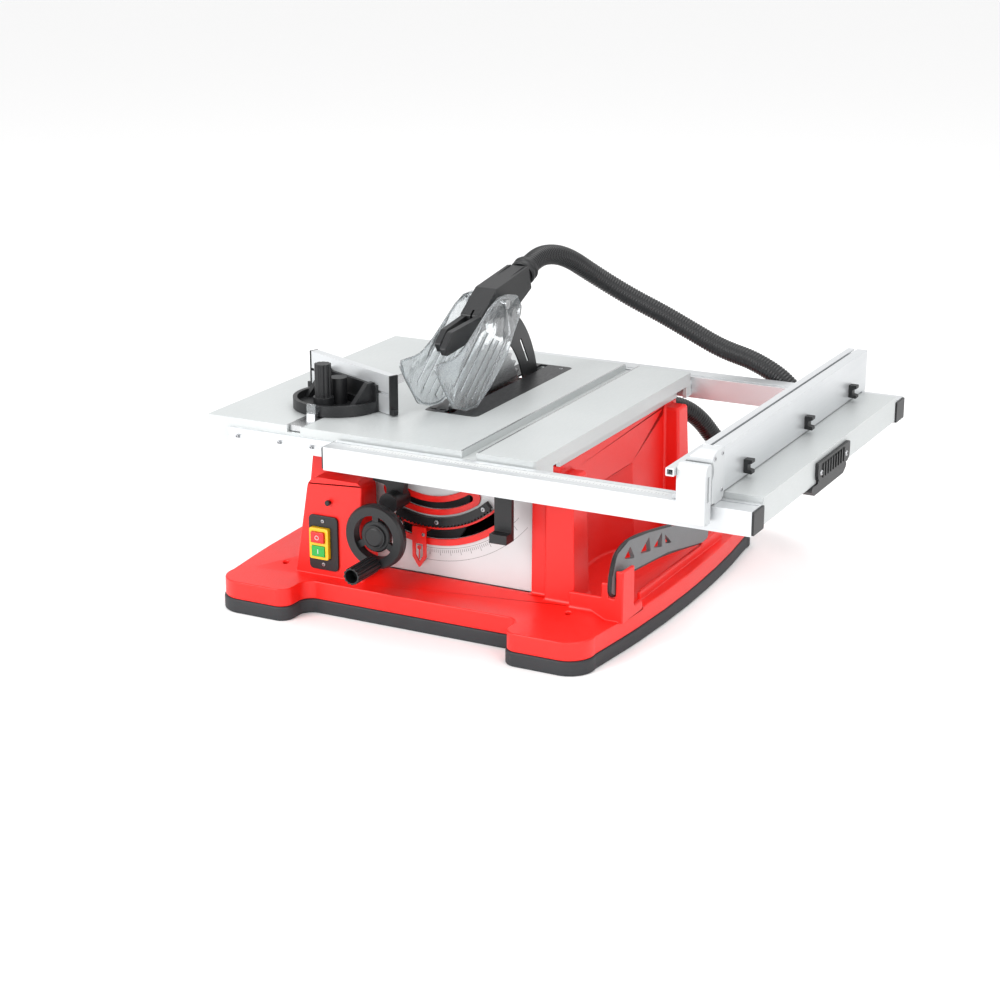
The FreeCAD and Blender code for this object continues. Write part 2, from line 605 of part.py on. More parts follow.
def make_drive():
    """Motor, gear case, arbor with its flanges and nut, and the toothed blade."""
    x, y = size.blade_x, size.blade_y
    case_left = x - 44
    motor_left = case_left - size.motor_length
    motor = rod("motor_can", (motor_left, y, motor_z), "motor_radius", "motor_length", RIGHT)
    fins = []
    for number in range(12):
        angle = math.radians(number * 30)
        fin = box("motor_fin_%d" % number, (motor_left + 12, -1.5, size.motor_radius - 1),
                  "motor_length - 24", 3, 4)
        fin.Placement = FreeCAD.Placement(
            FreeCAD.Vector(motor_left + 12, y - 1.5 * math.cos(angle) - math.sin(angle) * 41,
                           motor_z + math.cos(angle) * 41 - 1.5 * math.sin(angle)),
            FreeCAD.Rotation(RIGHT, number * 30))
        fins.append(fin)
    piece(join("motor_housing", motor, *fins))
    cap = turned("motor_cap_solid", [(0, 0), (size.motor_radius, 0), (size.motor_radius, 6),
                                     (size.motor_radius - 8, 14), (0, 14)],
                 (motor_left - 0.05, y, motor_z), RIGHT.negative())
    vents = [box("motor_vent_%d" % number, (motor_left - 16, y - 22, motor_z - 22 + number * 11), 8, 44, 4)
             for number in range(5)]
    piece(cut("motor_end_cap", cap, *vents))
    case = slab("gear_case", "YZ",
                rounded([(y - 46, motor_z - 40), (y + 46, motor_z - 40), (y + 40, size.blade_z + 4),
                         (y + 20, size.blade_z + 24), (y - 20, size.blade_z + 24),
                         (y - 40, size.blade_z + 4)], 12), case_left, 26)
    arms = [box("sleeve_arm_%d" % number, (x - 53, start, 227), 24, length, 22)
            for number, (start, length) in enumerate([(-176, 102.5), (13.5, 76)])]
    bearing = rod("bearing_nose", (case_left + 26, y, size.blade_z), 21, 5, RIGHT)
    knife_arm = slab("knife_arm", "YZ",
                     rounded([(y + 30, 205), (120, 205), (120, 270), (90, 270), (y + 30, 240)], 6),
                     x - 24, 22.5)
    bores = [rod("sleeve_bore_%d" % number, (x - 41, post_y, 200), "post_bore", 60)
             for number, post_y in enumerate((-135, 75))]
    screw_way = rod("screw_way", (x - 41, screw_y, 200), "screw_radius + 0.06", 60)
    arbor_bore = rod("arbor_bore", (case_left + 6, y, size.blade_z), "arbor_radius + 0.05", 40, RIGHT)
    solid = join("arbor_case_solid", case, bearing, knife_arm, *arms)
    piece(cut("arbor_housing", solid, *bores, screw_way, arbor_bore))

    shaft = rod("arbor_core", (case_left + 8, y, size.blade_z), "arbor_radius", 36.8, RIGHT)
    stub = rod("arbor_stub", (x + 0.5, y, size.blade_z), 8, 20.5, RIGHT)
    piece(join("arbor_shaft", shaft, stub))
    flanges = []
    sides = [(x - 0.95, -1, size.arbor_radius + 0.05), (x + 0.95, 1, 8.05)]
    for number, (start, sense, bore) in enumerate(sides):
        ring = turned("arbor_flange_%d" % number,
                      [(bore, 0), (size.flange_radius, 0), (size.flange_radius, 3), (18, 6), (bore, 6)],
                      (start, y, size.blade_z), RIGHT * sense)
        flanges.append(ring)
    nut_points = [(15 * math.cos(math.radians(60 * k)), 15 * math.sin(math.radians(60 * k)))
                  for k in range(6)]
    nut_centre = [(y + u, size.blade_z + v) for u, v in nut_points]
    flanges.append(slab("arbor_nut", "YZ", nut_centre, x + 7.2, 12,
                        [(y, size.blade_z, 8.05)]))
    piece(group("arbor_flanges", flanges))

    count = int(size.blade_teeth)
    outline = []
    for number in range(count):
        angle = 360.0 / count * number
        for turn_part, radius in ((0.0, size.blade_radius), (0.22, size.blade_radius - 1.2),
                                  (0.62, size.blade_radius - 7), (0.93, size.blade_radius - 8)):
            at = math.radians(angle + turn_part * 360.0 / count)
            outline.append((y + radius * math.cos(at), size.blade_z + radius * math.sin(at)))
    piece(slab("saw_blade", "YZ", outline, x - size.blade_body / 2, "blade_body",
               [(y, size.blade_z, size.arbor_radius + 0.05)]))


def make_knife_and_guard():
    """Riving knife, its clamp, the dust hood on top of it, and the two clear side shields."""
    x, y, z = size.blade_x, size.blade_y, size.blade_z

    def about_blade(radius, degrees):
        angle = math.radians(degrees)
        return (y + radius * math.cos(angle), z + radius * math.sin(angle))

    inner, outer = size.knife_inner, size.knife_outer
    outline = [about_blade(inner, -12), (about_blade(inner, 35), about_blade(inner, 78)),
               about_blade(outer, 78), (about_blade(outer, 35), about_blade(outer, 6)),
               (y + 172, 262), (y + 150, 232)]
    slot = rounded([about_blade(157, 24), about_blade(162, 24), about_blade(162, 42),
                    about_blade(157, 42)], 1.5)
    piece(slab("riving_knife", "YZ", outline, x - size.knife_thickness / 2, "knife_thickness", [slot]))
    clamp_plate = slab("clamp_plate", "YZ", rectangle(103, 132, 222, 254, 4), x + 1.2, 6)
    clamp_knob = rod("clamp_knob", (x + 7.2, 117, 238), 9, 10, RIGHT)
    piece(join("knife_clamp", clamp_plate, clamp_knob))

    half = size.hood_width / 2
    arm_outline = rounded([(82, 478), (-25, 463), (-74, 431), (-74, 418), (30, 404), (36, 418),
                           (92, 442)], [3, 6, 5, 2, 6, 4, 3])
    arm = slab("hood_arm", "YZ", arm_outline, x - half, "hood_width")
    prong_outline = rounded([(-60, 431), (-164, 425), (-186, 404), (-180, 393), (-120, 398),
                             (-60, 408)], [4, 8, 3, 3, 8, 4])
    short_outline = rounded([(-60, 431), (-134, 421), (-157, 403), (-148, 389), (-104, 394),
                             (-60, 408)], [4, 8, 3, 3, 8, 4])
    prongs = [slab("hood_prong_0", "YZ", short_outline, x - half + 1, 9),
              slab("hood_prong_1", "YZ", prong_outline, x + half - 10, 9)]
    arm_slot = slab("hood_slot", "YZ", rectangle(-140, 60, 380, 437), x - 1.6, 3.2)
    tip_gap = box("hood_tip_gap", (x - 7, -190, 380), 14, 105, 60)
    spigot_axis = FreeCAD.Vector(0, math.cos(math.radians(22)), math.sin(math.radians(22)))
    spigot = rod("hood_spigot", (x, 78, 456), 15.9, 22, spigot_axis)
    hood = join("hood_solid", arm, *prongs, spigot)
    pin_bore = rod("hood_pin_bore", (x - 30, size.guard_pivot_y, size.guard_pivot_z),
                   "guard_pin_radius + 0.05", 60, RIGHT)
    piece(cut("dust_hood", hood, arm_slot, tip_gap, pin_bore))
    cuff = turned("hose_cuff", [(16.5, 0), (19, 0), (21, 2.5), (21, 6), (19, 8), (19, 11), (21, 13),
                                 (21, 17), (19, 19), (19, 22), (16.5, 22)],
                  (x, 78 + 16 * spigot_axis.y, 456 + 16 * spigot_axis.z), spigot_axis)
    piece(cuff)

    reach = size.guard_half_gap + size.shield_thickness
    pin = rod("pin_rod", (x - reach - 1, size.guard_pivot_y, size.guard_pivot_z),
              "guard_pin_radius", 2 * reach + 2, RIGHT)
    pin_heads = [rod("pin_head_%d" % number, (start, size.guard_pivot_y, size.guard_pivot_z), 7, 3, RIGHT)
                 for number, start in enumerate((x - reach - 4, x + reach + 1))]
    piece(join("guard_pin", pin, *pin_heads))
    shield = rounded([(-112, 302.5), (-69, 323), (-14, 360), (14, 397), (30, 413), (34, 426),
                      (20, 446), (-14, 454), (-42, 454), (-70, 444), (-137, 407), (-178, 391),
                      (-232, 394), (-238, 386), (-220, 360), (-186, 318), (-150, 305)],
                     [12, 30, 24, 12, 6, 6, 10, 12, 10, 10, 20, 12, 4, 4, 20, 16, 14])
    rib_starts = [(-186, 350), (-168, 338), (-150, 326), (-132, 318), (-112, 314), (-92, 322)]
    starts = {"guard_left_shield": x - reach, "guard_right_shield": x + size.guard_half_gap}
    for name, start in starts.items():
        plate = slab(name + "_plate", "YZ", shield, start, "shield_thickness",
                     [(size.guard_pivot_y, size.guard_pivot_z, size.guard_pin_radius + 0.06)])
        ribs = []
        rib_start = start + (size.shield_thickness if start > x else -1.5)
        for number, low in enumerate(rib_starts):
            high = (low[0] + 88, low[1] + 70)
            outline = [(low[0], low[1]), (low[0] + 3, low[1]), (high[0] + 3, high[1]), (high[0], high[1])]
            ribs.append(slab(name + "_rib_%d" % number, "YZ", outline, rib_start, 1.5))
        piece(join(name, plate, *ribs))


# ---------------------------------------------------------------- hose

def hose_route():
    """Hand-placed points of the hose's line, from the hood's spigot to the port's branch."""
    return [(-7, 99, 464), (-7, 126, 475), (-4, 169, 481), (7, 223, 469), (35, 267, 434),
            (90, 287, 399), (147, 297, 373), (199, 303, 347), (247, 307, 324), (306, 304, 312),
            (367, 300, 281), (401, 303, 223), (402, 323, 162), (371, 350, 114), (318, 376, 93),
            (259, 390, 103), (211, 390, 141), (182, 368, 192), (150, 330, 218), (108, 293, 218)]


def hose_pieces():
    """Runs joined by tangent arcs, each arc 0.45 of its shorter run over the tangent of half the turn."""
    points = [FreeCAD.Vector(*p) for p in hose_route()]
    edges = []
    here = points[0]
    print("hose radii:")
    for before, corner, after in zip(points, points[1:], points[2:]):
        back, on = before - corner, after - corner
        shorter = min(back.Length, on.Length)
        half_turn = (math.pi - back.getAngle(on)) / 2
        radius = 0.45 * shorter / math.tan(half_turn)
        back.normalize()
        on.normalize()
        first = corner + back * (0.45 * shorter)
        last = corner + on * (0.45 * shorter)
        inward = back + on
        inward.normalize()
        middle = corner + inward * (radius / math.cos(half_turn) - radius)
        print("  %.0f mm, turn %.0f deg" % (radius, math.degrees(2 * half_turn)))
        edges.append(Part.LineSegment(here, first).toShape())
        edges.append(Part.Arc(first, middle, last).toShape())
        here = last
    edges.append(Part.LineSegment(here, points[-1]).toShape())
    return edges


def make_hose():
    """The corrugated hose as plain tubes: an upper part that moves with the hood and a lower part."""
    edges = hose_pieces()
    split = 8
    for name, some in (("hose_upper", edges[:split]), ("hose_lower", edges[split:])):
        path = Part.Wire(some)
        start = path.OrderedEdges[0]
        at = start.valueAt(start.FirstParameter)
        along = start.tangentAt(start.FirstParameter)
        ring = Part.Wire([Part.Circle(at, along, size.hose_radius).toShape()])
        tube = path.makePipeShell([ring], True, False, 1)
        expected = math.pi * size.hose_radius ** 2 * path.Length
        print("%s length %.0f, volume ratio %.4f" % (name, path.Length, tube.Volume / expected))
        hose = doc.addObject("Part::Feature", name)
        hose.Shape = tube
        piece(hose)


# ---------------------------------------------------------------- front controls

def make_handwheel():
    """Handwheel with three spokes on its shaft, the fluted crank grip and the bevel lock lever."""
    centre = (shaft_x, shaft_z)
    rim = turned("wheel_rim_solid", [(33, 0), (size.wheel_radius - 3, 0), (size.wheel_radius, 4),
                                     (size.wheel_radius, size.wheel_rim - 4),
                                     (size.wheel_radius - 3, size.wheel_rim), (33, size.wheel_rim)],
                 (centre[0], wheel_front, centre[1]), BACK)
    hub = turned("wheel_hub", [(6.02, 5), (22, 5), (24, 7), (24, 14), (12, 18), (6.02, 18)],
                 (centre[0], wheel_front, centre[1]), BACK)
    spokes = []
    for number in range(3):
        spoke = box("wheel_spoke_%d" % number, (centre[0] + 20, wheel_front + 6, centre[1] - 5), 16, 7, 10)
        spokes.append(turn(spoke, BACK, 30 + number * 120, (centre[0], 0, centre[1])))
    grip_z = centre[1] - 40
    stub = rod("grip_stub", (centre[0], wheel_front + 2, grip_z), 4, 40, BACK.negative())
    piece(join("handwheel", rim, hub, *spokes, stub))
    axle = rod("wheel_axle", (centre[0], wheel_front + 6, centre[1]), "shaft_radius", 103, BACK)
    pinion = slab("wheel_pinion", "XZ", [(centre[0] + u, centre[1] + v) for u, v in
                                         [(10.6 * math.cos(math.radians(a)), 10.6 * math.sin(math.radians(a)))
                                          for a in range(0, 360, 30)]], size.panel_front - 9.2, 6)
    bevel = cone("wheel_bevel", (centre[0], -179.4, centre[1]), 9, 6, 5, BACK)
    piece(join("wheel_shaft", axle, pinion, bevel))
    length = size.grip_length
    grip = slab("grip_body", "XY", fluted(size.grip_radius, 1.4, 12), 0, "grip_length")
    grip.Placement = FreeCAD.Placement(FreeCAD.Vector(centre[0], wheel_front - 2, grip_z),
                                       FreeCAD.Rotation(UP, BACK.negative()))
    bore = rod("grip_bore", (centre[0], wheel_front + 2, grip_z), 4.05, 50, BACK.negative())
    mouth = rod("grip_mouth", (centre[0], wheel_front - 2 - length + 22, grip_z), 10, 30, BACK.negative())
    piece(cut("handwheel_grip", grip, bore, mouth))

    hub_front = -252.0
    lever_hub = rod("lever_hub", (lock_x, hub_front, lock_z), 15, 42, BACK)
    bolt = rod("lever_bolt", (lock_x, hub_front + 30, lock_z), 4.5, 44, BACK)
    arm_outline = rounded([(lock_x - 16, lock_z - 4), (lock_x + 12, lock_z + 6), (lock_x + 16, 213),
                           (-88, 213), (-90, 205), (-66, 201)], [5, 5, 3, 3, 3, 8])
    arm = slab("lever_arm", "XZ", arm_outline, -230, 14)
    piece(join("bevel_lock_lever", lever_hub, bolt, arm))


def make_rail_lock():
    """Flat lever hanging under the front rail that clamps the sliding rails."""
    bar = box("lock_bar", (124, -252, 163), 28, 8, 92)
    foot = box("lock_foot", (124, -268, 152), 28, 24, 14)
    pin = rod("lock_pin", (118, -248, 255), 3, 40, RIGHT)
    knuckle = rod("lock_knuckle", (124, -248, 255), 6.5, 28, RIGHT)
    piece(join("rail_lock_lever", bar, foot, knuckle, pin))


# ---------------------------------------------------------------- sliding rails, extension, fence

def rail_profile(face, side):
    """A hollow grooved rail section: face is the side nearest the table, side is the way it stands out."""
    depth, top = size.rail_depth, size.rail_top
    low = top - size.rail_height
    outer = [(0, low), (depth, low), (depth, top), (12, top), (12, top - 3), (9, top - 3), (9, top),
             (0, top)]
    return [(face + side * u, v) for u, v in outer]


def make_extension():
    """Two sliding rails, the side table on their ends, its grip and the rails' end caps."""
    front_face = size.table_front - 5
    rear_face = table_back + 5
    length = "rail_right - rail_left"
    chamber = {"front": (front_face, -1), "rear": (rear_face, 1)}
    rails = {}
    for name, (face, side) in chamber.items():
        low = size.rail_top - size.rail_height
        a, b = sorted((face + side * 14, face + side * 37))
        inner = rectangle(a, b, low + 3, size.rail_top - 3, 2)
        rails[name] = slab(name + "_slide_rail", "YZ", rail_profile(face, side), size.rail_left,
                           length, [inner])
        piece(rails[name])
    left, right = extension_left, extension_left + size.extension_width
    front, back = size.table_front - 4.5, table_back + 4.5
    top = size.table_top - 0.5
    plate = box("extension_plate", (left, front, top - 6), "extension_width", back - front, 6)
    skirt = slab("extension_skirt", "XY", rectangle(left, right, front, back, 3),
                 top - size.extension_height, "extension_height",
                 [rectangle(left + 4, right - 4, front + 4, back - 4)])
    piece(join("extension_table", plate, skirt))
    grip_y = (-125.0, 10.0)
    pad_outline = rounded([(grip_y[0], top - 36), (grip_y[1], top - 36), (grip_y[1], top - 8),
                           (grip_y[0], top - 8)], [12, 12, 3, 3])
    pad = slab("grip_pad", "YZ", pad_outline, right, 5)
    hook = slab("grip_hook", "YZ", rounded([(grip_y[0] - 26, top - 38.2), (grip_y[1] + 4, top - 38.2),
                                            (grip_y[1] - 20, top - 52), (grip_y[0] - 8, top - 52)], 4),
                right - 30, 33)
    ribs = [box("grip_rib_%d" % number, (right + 4.5, grip_y[0] + 18 + number * 11, top - 32), 2, 4, 20)
            for number in range(9)]
    web = box("grip_web", (right + 0.05, grip_y[0] + 6, top - 40), 3, grip_y[1] - grip_y[0] - 22, 8)
    piece(join("extension_grip", pad, hook, web, *ribs))
    caps = []
    low = size.rail_top - size.rail_height
    for end, direction in ((size.rail_right, 1), (size.rail_left, -1)):
        for face, side in chamber.values():
            a, b = sorted((face + side * 1, face + side * 39))
            outline = rectangle(a, b, low + 1, size.rail_top - 1, 2)
            start = end if direction > 0 else end - 3
            caps.append(slab("rail_cap_%d" % len(caps), "YZ", outline, start, 3))
    piece(group("rail_end_caps", caps))


def make_fence():
    """Rip fence: slotted beam, left lip, cast head over the rail, storage clips and clamp lever."""
    right, width = size.fence_right, size.fence_width
    left = right - width
    floor = size.table_top + 1
    top = floor + size.fence_height
    middle = (left + right) / 2
    front, rear = size.table_front - 8, size.fence_rear
    section = [(left, floor), (right, floor), (right, top), (middle - 1, top), (middle - 1, top - 3),
               (middle + 4, top - 3), (middle + 4, top - 8), (middle - 10, top - 8),
               (middle - 10, top - 3), (middle - 5, top - 3), (middle - 5, top), (left, top)]
    chamber = rectangle(left + 3, right - 3, floor + 3, top - 11, 2)
    extrusion = slab("beam_section", "XZ", section, front, rear - front, [chamber])
    foot = box("beam_foot", (left, 243, size.rail_top + 0.4), width, 14, floor - size.rail_top)
    piece(join("fence_beam", extrusion, foot))
    lip_right = right - 41.3
    lip_section = rectangle(lip_right - 12, lip_right, top - 28, top - 17, 1)
    lip_chamber = rectangle(lip_right - 10, lip_right - 2, top - 26, top - 19, 0.5)
    channel = slab("lip_channel", "XZ", lip_section, front - 70, rear - front + 62, [lip_chamber])
    web = box("lip_web", (lip_right - 0.5, front + 0.5, top - 24), left - lip_right + 0.45, 560, 6)
    piece(join("fence_lip", channel, web))
    head_side = rounded([(front - 0.1, size.rail_top + 3), (front - 0.1, top + 1), (-352, top + 1),
                         (-369, top - 3), (-369, size.rail_top + 3)], [1, 6, 8, 6, 1])
    head_solid = slab("head_solid", "YZ", head_side, right - 41, 41)
    lever_way = box("lever_way", (right - 36, -372, size.rail_top), 31, 22, 52)
    scoop = rod("head_scoop", (right - 45, -380, 338), 16.5, 50, RIGHT)
    shoe = box("head_shoe", (right - 60, -358, size.rail_top + 0.4), 60, 26, 6)
    shoulder = slab("head_shoulder", "XZ", [(right - 42, top - 17), (right - 42, top + 2),
                                            (right - 24, top + 2)], -374, 60)
    piece(cut("fence_head", join("head_outside", head_solid, shoe), lever_way, scoop, shoulder))
    lever_side = rounded([(-371, 269), (-371, 350), (-389, 350), (-392, 330), (-392, 269)],
                         [3, 4, 10, 12, 4])
    lever_plate = slab("lever_plate", "YZ", lever_side, right - 41, 41)
    tongue = box("lever_tongue", (right - 35, -373, size.rail_top + 18), 29, 14, 30)
    lever_slot = box("lever_slot", (right - 50, -384, 300), 60, 7, 34)
    piece(join("fence_lever", cut("lever_cut", lever_plate, lever_slot), tongue))
    clips = []
    for number, y in enumerate((-252.0, -13.0, 182.0)):
        outline = rounded([(right, 307), (right + 12, 306), (right + 12, 311), (right + 6, 312),
                           (right + 6, 319), (right + 12, 321), (right + 12, 326), (right, 326)],
                          [1, 1, 1, 1, 1, 1, 1, 1])
        clips.append(slab("fence_clip_%d" % number, "XZ", outline, y - 6, 12))
    piece(group("fence_clips", clips))


# ---------------------------------------------------------------- mitre gauge and push stick

def make_gauge():
    """Mitre gauge: bar in the left slot, turning head with its fence, caps, pointer and knob."""
    x, y = size.left_slot_x, size.gauge_y
    top = size.table_top
    half = size.miter_slot_width / 2 - 0.3
    bar_front = size.table_front + 6
    bar = slab("bar_solid", "XY", rectangle(x - half, x + half, bar_front,
                                            bar_front + size.gauge_bar_length, 2),
               size.rail_top + 0.4, "miter_slot_depth - 1.7")
    pivot = rod("bar_pivot", (x, y, top - 3), 5, 12)
    stop = box("bar_block", (x - 7, y - 79, top - 2), 14, 10, 9)
    piece(join("miter_bar", bar, pivot, stop))

    about = (x, y, 0)
    radius = size.gauge_radius
    head_base = top + 0.8
    half_disc = [(x + radius, y + 22), ((x, y - radius - 3), (x - radius, y + 22))]
    hole = [(x, y, 5.05)]
    disc = slab("gauge_disc", "XY", [half_disc[0], half_disc[1]], head_base, 5, hole)
    rim_inner = [(x + radius - 6, y + 16), ((x, y - radius + 3), (x - radius + 6, y + 16))]
    rim = slab("gauge_rim", "XY", half_disc, head_base + 4, 12, [rim_inner])
    gussets = [slab("gauge_gusset_%d" % number, "YZ",
                    [(y - 24, head_base + 3), (y + 24, head_base + 3), (y + 24, top + 44), (y + 12, top + 44)],
                    start, 9)
               for number, start in enumerate((x + radius - 16, x - radius + 5))]
    back_plate = box("gauge_back", (x - radius, y + 21, head_base + 0.2), 2 * radius, 5, 40)
    boss = rod("gauge_boss", (x, y, head_base), 13, 44)
    pivot_hole = rod("gauge_pivot_hole", (x, y, head_base - 1), 5.05, 10.5)
    head = cut("miter_head", join("gauge_head", disc, rim, boss, *gussets, back_plate), pivot_hole)
    fence_y = y + 26.05
    section = [(fence_y, top + 1), (fence_y + 13, top + 1), (fence_y + 13, top + size.gauge_fence_height),
               (fence_y, top + size.gauge_fence_height), (fence_y, top + 33), (fence_y + 4, top + 33),
               (fence_y + 4, top + 29), (fence_y, top + 29)]
    chamber = rectangle(fence_y + 6, fence_y + 11, top + 4, top + size.gauge_fence_height - 3)
    fence = slab("miter_fence", "YZ", section, x - 108, 200, [chamber])
    caps = []
    for number, (start, foot) in enumerate([(x - 111.05, -1), (x + 92.05, 1)]):
        plate = box("cap_plate_%d" % number, (start, fence_y - 1, top + 1.2), 3, 15,
                    "gauge_fence_height - 1")
        toe = box("cap_toe_%d" % number, (start + (2.5 if foot > 0 else -7.5), fence_y - 1, top + 1.2),
                  8, 9, 9)
        caps.append(join("gauge_cap_%d" % number, plate, toe))
    miter_caps = group("miter_caps", caps)
    pointer = box("miter_pointer", (x - 7, y - 78.9, top + 7.1), 14, 4, 14)
    piece(pointer)
    for thing in (head, fence, miter_caps):
        piece(turn(thing, UP, size.gauge_turn, about))

    turn_by = math.radians(size.gauge_turn)
    knob_x = x + 5 * math.cos(turn_by) + 31 * math.sin(turn_by)
    knob_y = y + 5 * math.sin(turn_by) - 31 * math.cos(turn_by)
    knob = slab("knob_body", "XY", fluted(12.5, 1.4, 10), 0, 51)
    knob.Placement.Base = FreeCAD.Vector(knob_x, knob_y, top + 20.3)
    skirt = rod("knob_skirt", (knob_x, knob_y, top + 6.3), 15, 15)
    piece(join("miter_knob", knob, skirt))
    print("mitre knob at %.1f %.1f" % (knob_x, knob_y))


def make_push_stick():
    """Grey push stick with triangular windows, standing in the notch of the storage bay."""
    outline = rounded([(-238, 96), (-236, 118), (-221, 148), (-180, 157), (-110, 148), (-24, 132),
                       (120, 101), (126, 84), (122, 70), (100, 69), (-34, 95), (-128, 104),
                       (-172, 108), (-203, 99), (-222, 87)],
                      [5, 10, 20, 24, 40, 40, 8, 6, 6, 20, 40, 30, 20, 10, 5])
    windows = [rounded(corners, 1.5) for corners in (
        [(-197, 134), (-158, 124), (-176, 147)], [(-141, 125), (-101, 117), (-108, 141)],
        [(-92, 119), (-60, 111), (-60, 134)], [(-50, 128), (-46, 112), (-20, 105)])]
    piece(slab("push_stick", "YZ", outline, 296.5, 7, windows))


# ---------------------------------------------------------------- assembly

make_plinth()
make_housing()
make_panel()
make_switch()
make_table()
make_insert()
make_fixed_rails()
make_trunnions()
make_rear_fittings()
make_cradle()
make_drive()
make_knife_and_guard()
make_hose()
make_handwheel()
make_rail_lock()
make_extension()
make_fence()
make_gauge()
make_push_stick()
doc.recompute()

failed = [thing.Label for thing in doc.Objects if {"Invalid", "Error"} & set(thing.State)]
for label, thing in pieces.items():
    shape = thing.Shape
    if shape.isNull() or not shape.isValid() or not shape.Solids:
        failed.append(label)
if failed:
    raise RuntimeError("not made: " + ", ".join(sorted(set(failed))))

os.makedirs("parts", exist_ok=True)
for label, thing in pieces.items():
    thing.Shape.exportStep("parts/%s.step" % label)
print("%d sub-parts written" % len(pieces))
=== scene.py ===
import json
import math

import bmesh
import bpy
from mathutils import Matrix, Vector


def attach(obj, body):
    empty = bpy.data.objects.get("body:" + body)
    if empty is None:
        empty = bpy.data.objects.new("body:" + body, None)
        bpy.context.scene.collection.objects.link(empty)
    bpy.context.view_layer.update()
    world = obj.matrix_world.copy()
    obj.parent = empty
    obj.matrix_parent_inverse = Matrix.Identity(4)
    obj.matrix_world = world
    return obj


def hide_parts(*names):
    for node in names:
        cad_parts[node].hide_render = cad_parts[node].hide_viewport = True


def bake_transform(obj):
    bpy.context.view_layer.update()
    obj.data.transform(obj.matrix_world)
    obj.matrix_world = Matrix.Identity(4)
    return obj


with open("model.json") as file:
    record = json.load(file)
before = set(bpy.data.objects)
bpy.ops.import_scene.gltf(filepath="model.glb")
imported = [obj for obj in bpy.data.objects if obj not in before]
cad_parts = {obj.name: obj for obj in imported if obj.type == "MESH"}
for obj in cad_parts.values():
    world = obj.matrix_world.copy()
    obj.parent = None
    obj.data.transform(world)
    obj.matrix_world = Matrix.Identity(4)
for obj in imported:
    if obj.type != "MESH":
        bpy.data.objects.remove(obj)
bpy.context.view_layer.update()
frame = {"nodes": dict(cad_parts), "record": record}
mm = 0.001
nodeBody = {}
for body, nodes in frame["record"]["behaviour"]["bodies"].items():
    for node in nodes:
        nodeBody[node] = body
right, up, frontWay = Vector((1, 0, 0)), Vector((0, 0, 1)), Vector((0, -1, 0))


# colours and materials

def linearColour(hexText):
    channels = [int(hexText[i:i + 2], 16) / 255 for i in (1, 3, 5)]
    linear = [c / 12.92 if c <= 0.04045 else ((c + 0.055) / 1.055) ** 2.4 for c in channels]
    return linear + [1.0]


def addNode(tree, kind, settings=None, links=None):
    # settings go to the node or its inputs; links give input name -> (node, output name)
    node = tree.nodes.new(kind)
    for key, value in (settings or {}).items():
        if key in node.inputs:
            node.inputs[key].default_value = value
        else:
            setattr(node, key, value)
    for key, (source, output) in (links or {}).items():
        tree.links.new(source.outputs[output], node.inputs[key])
    return node


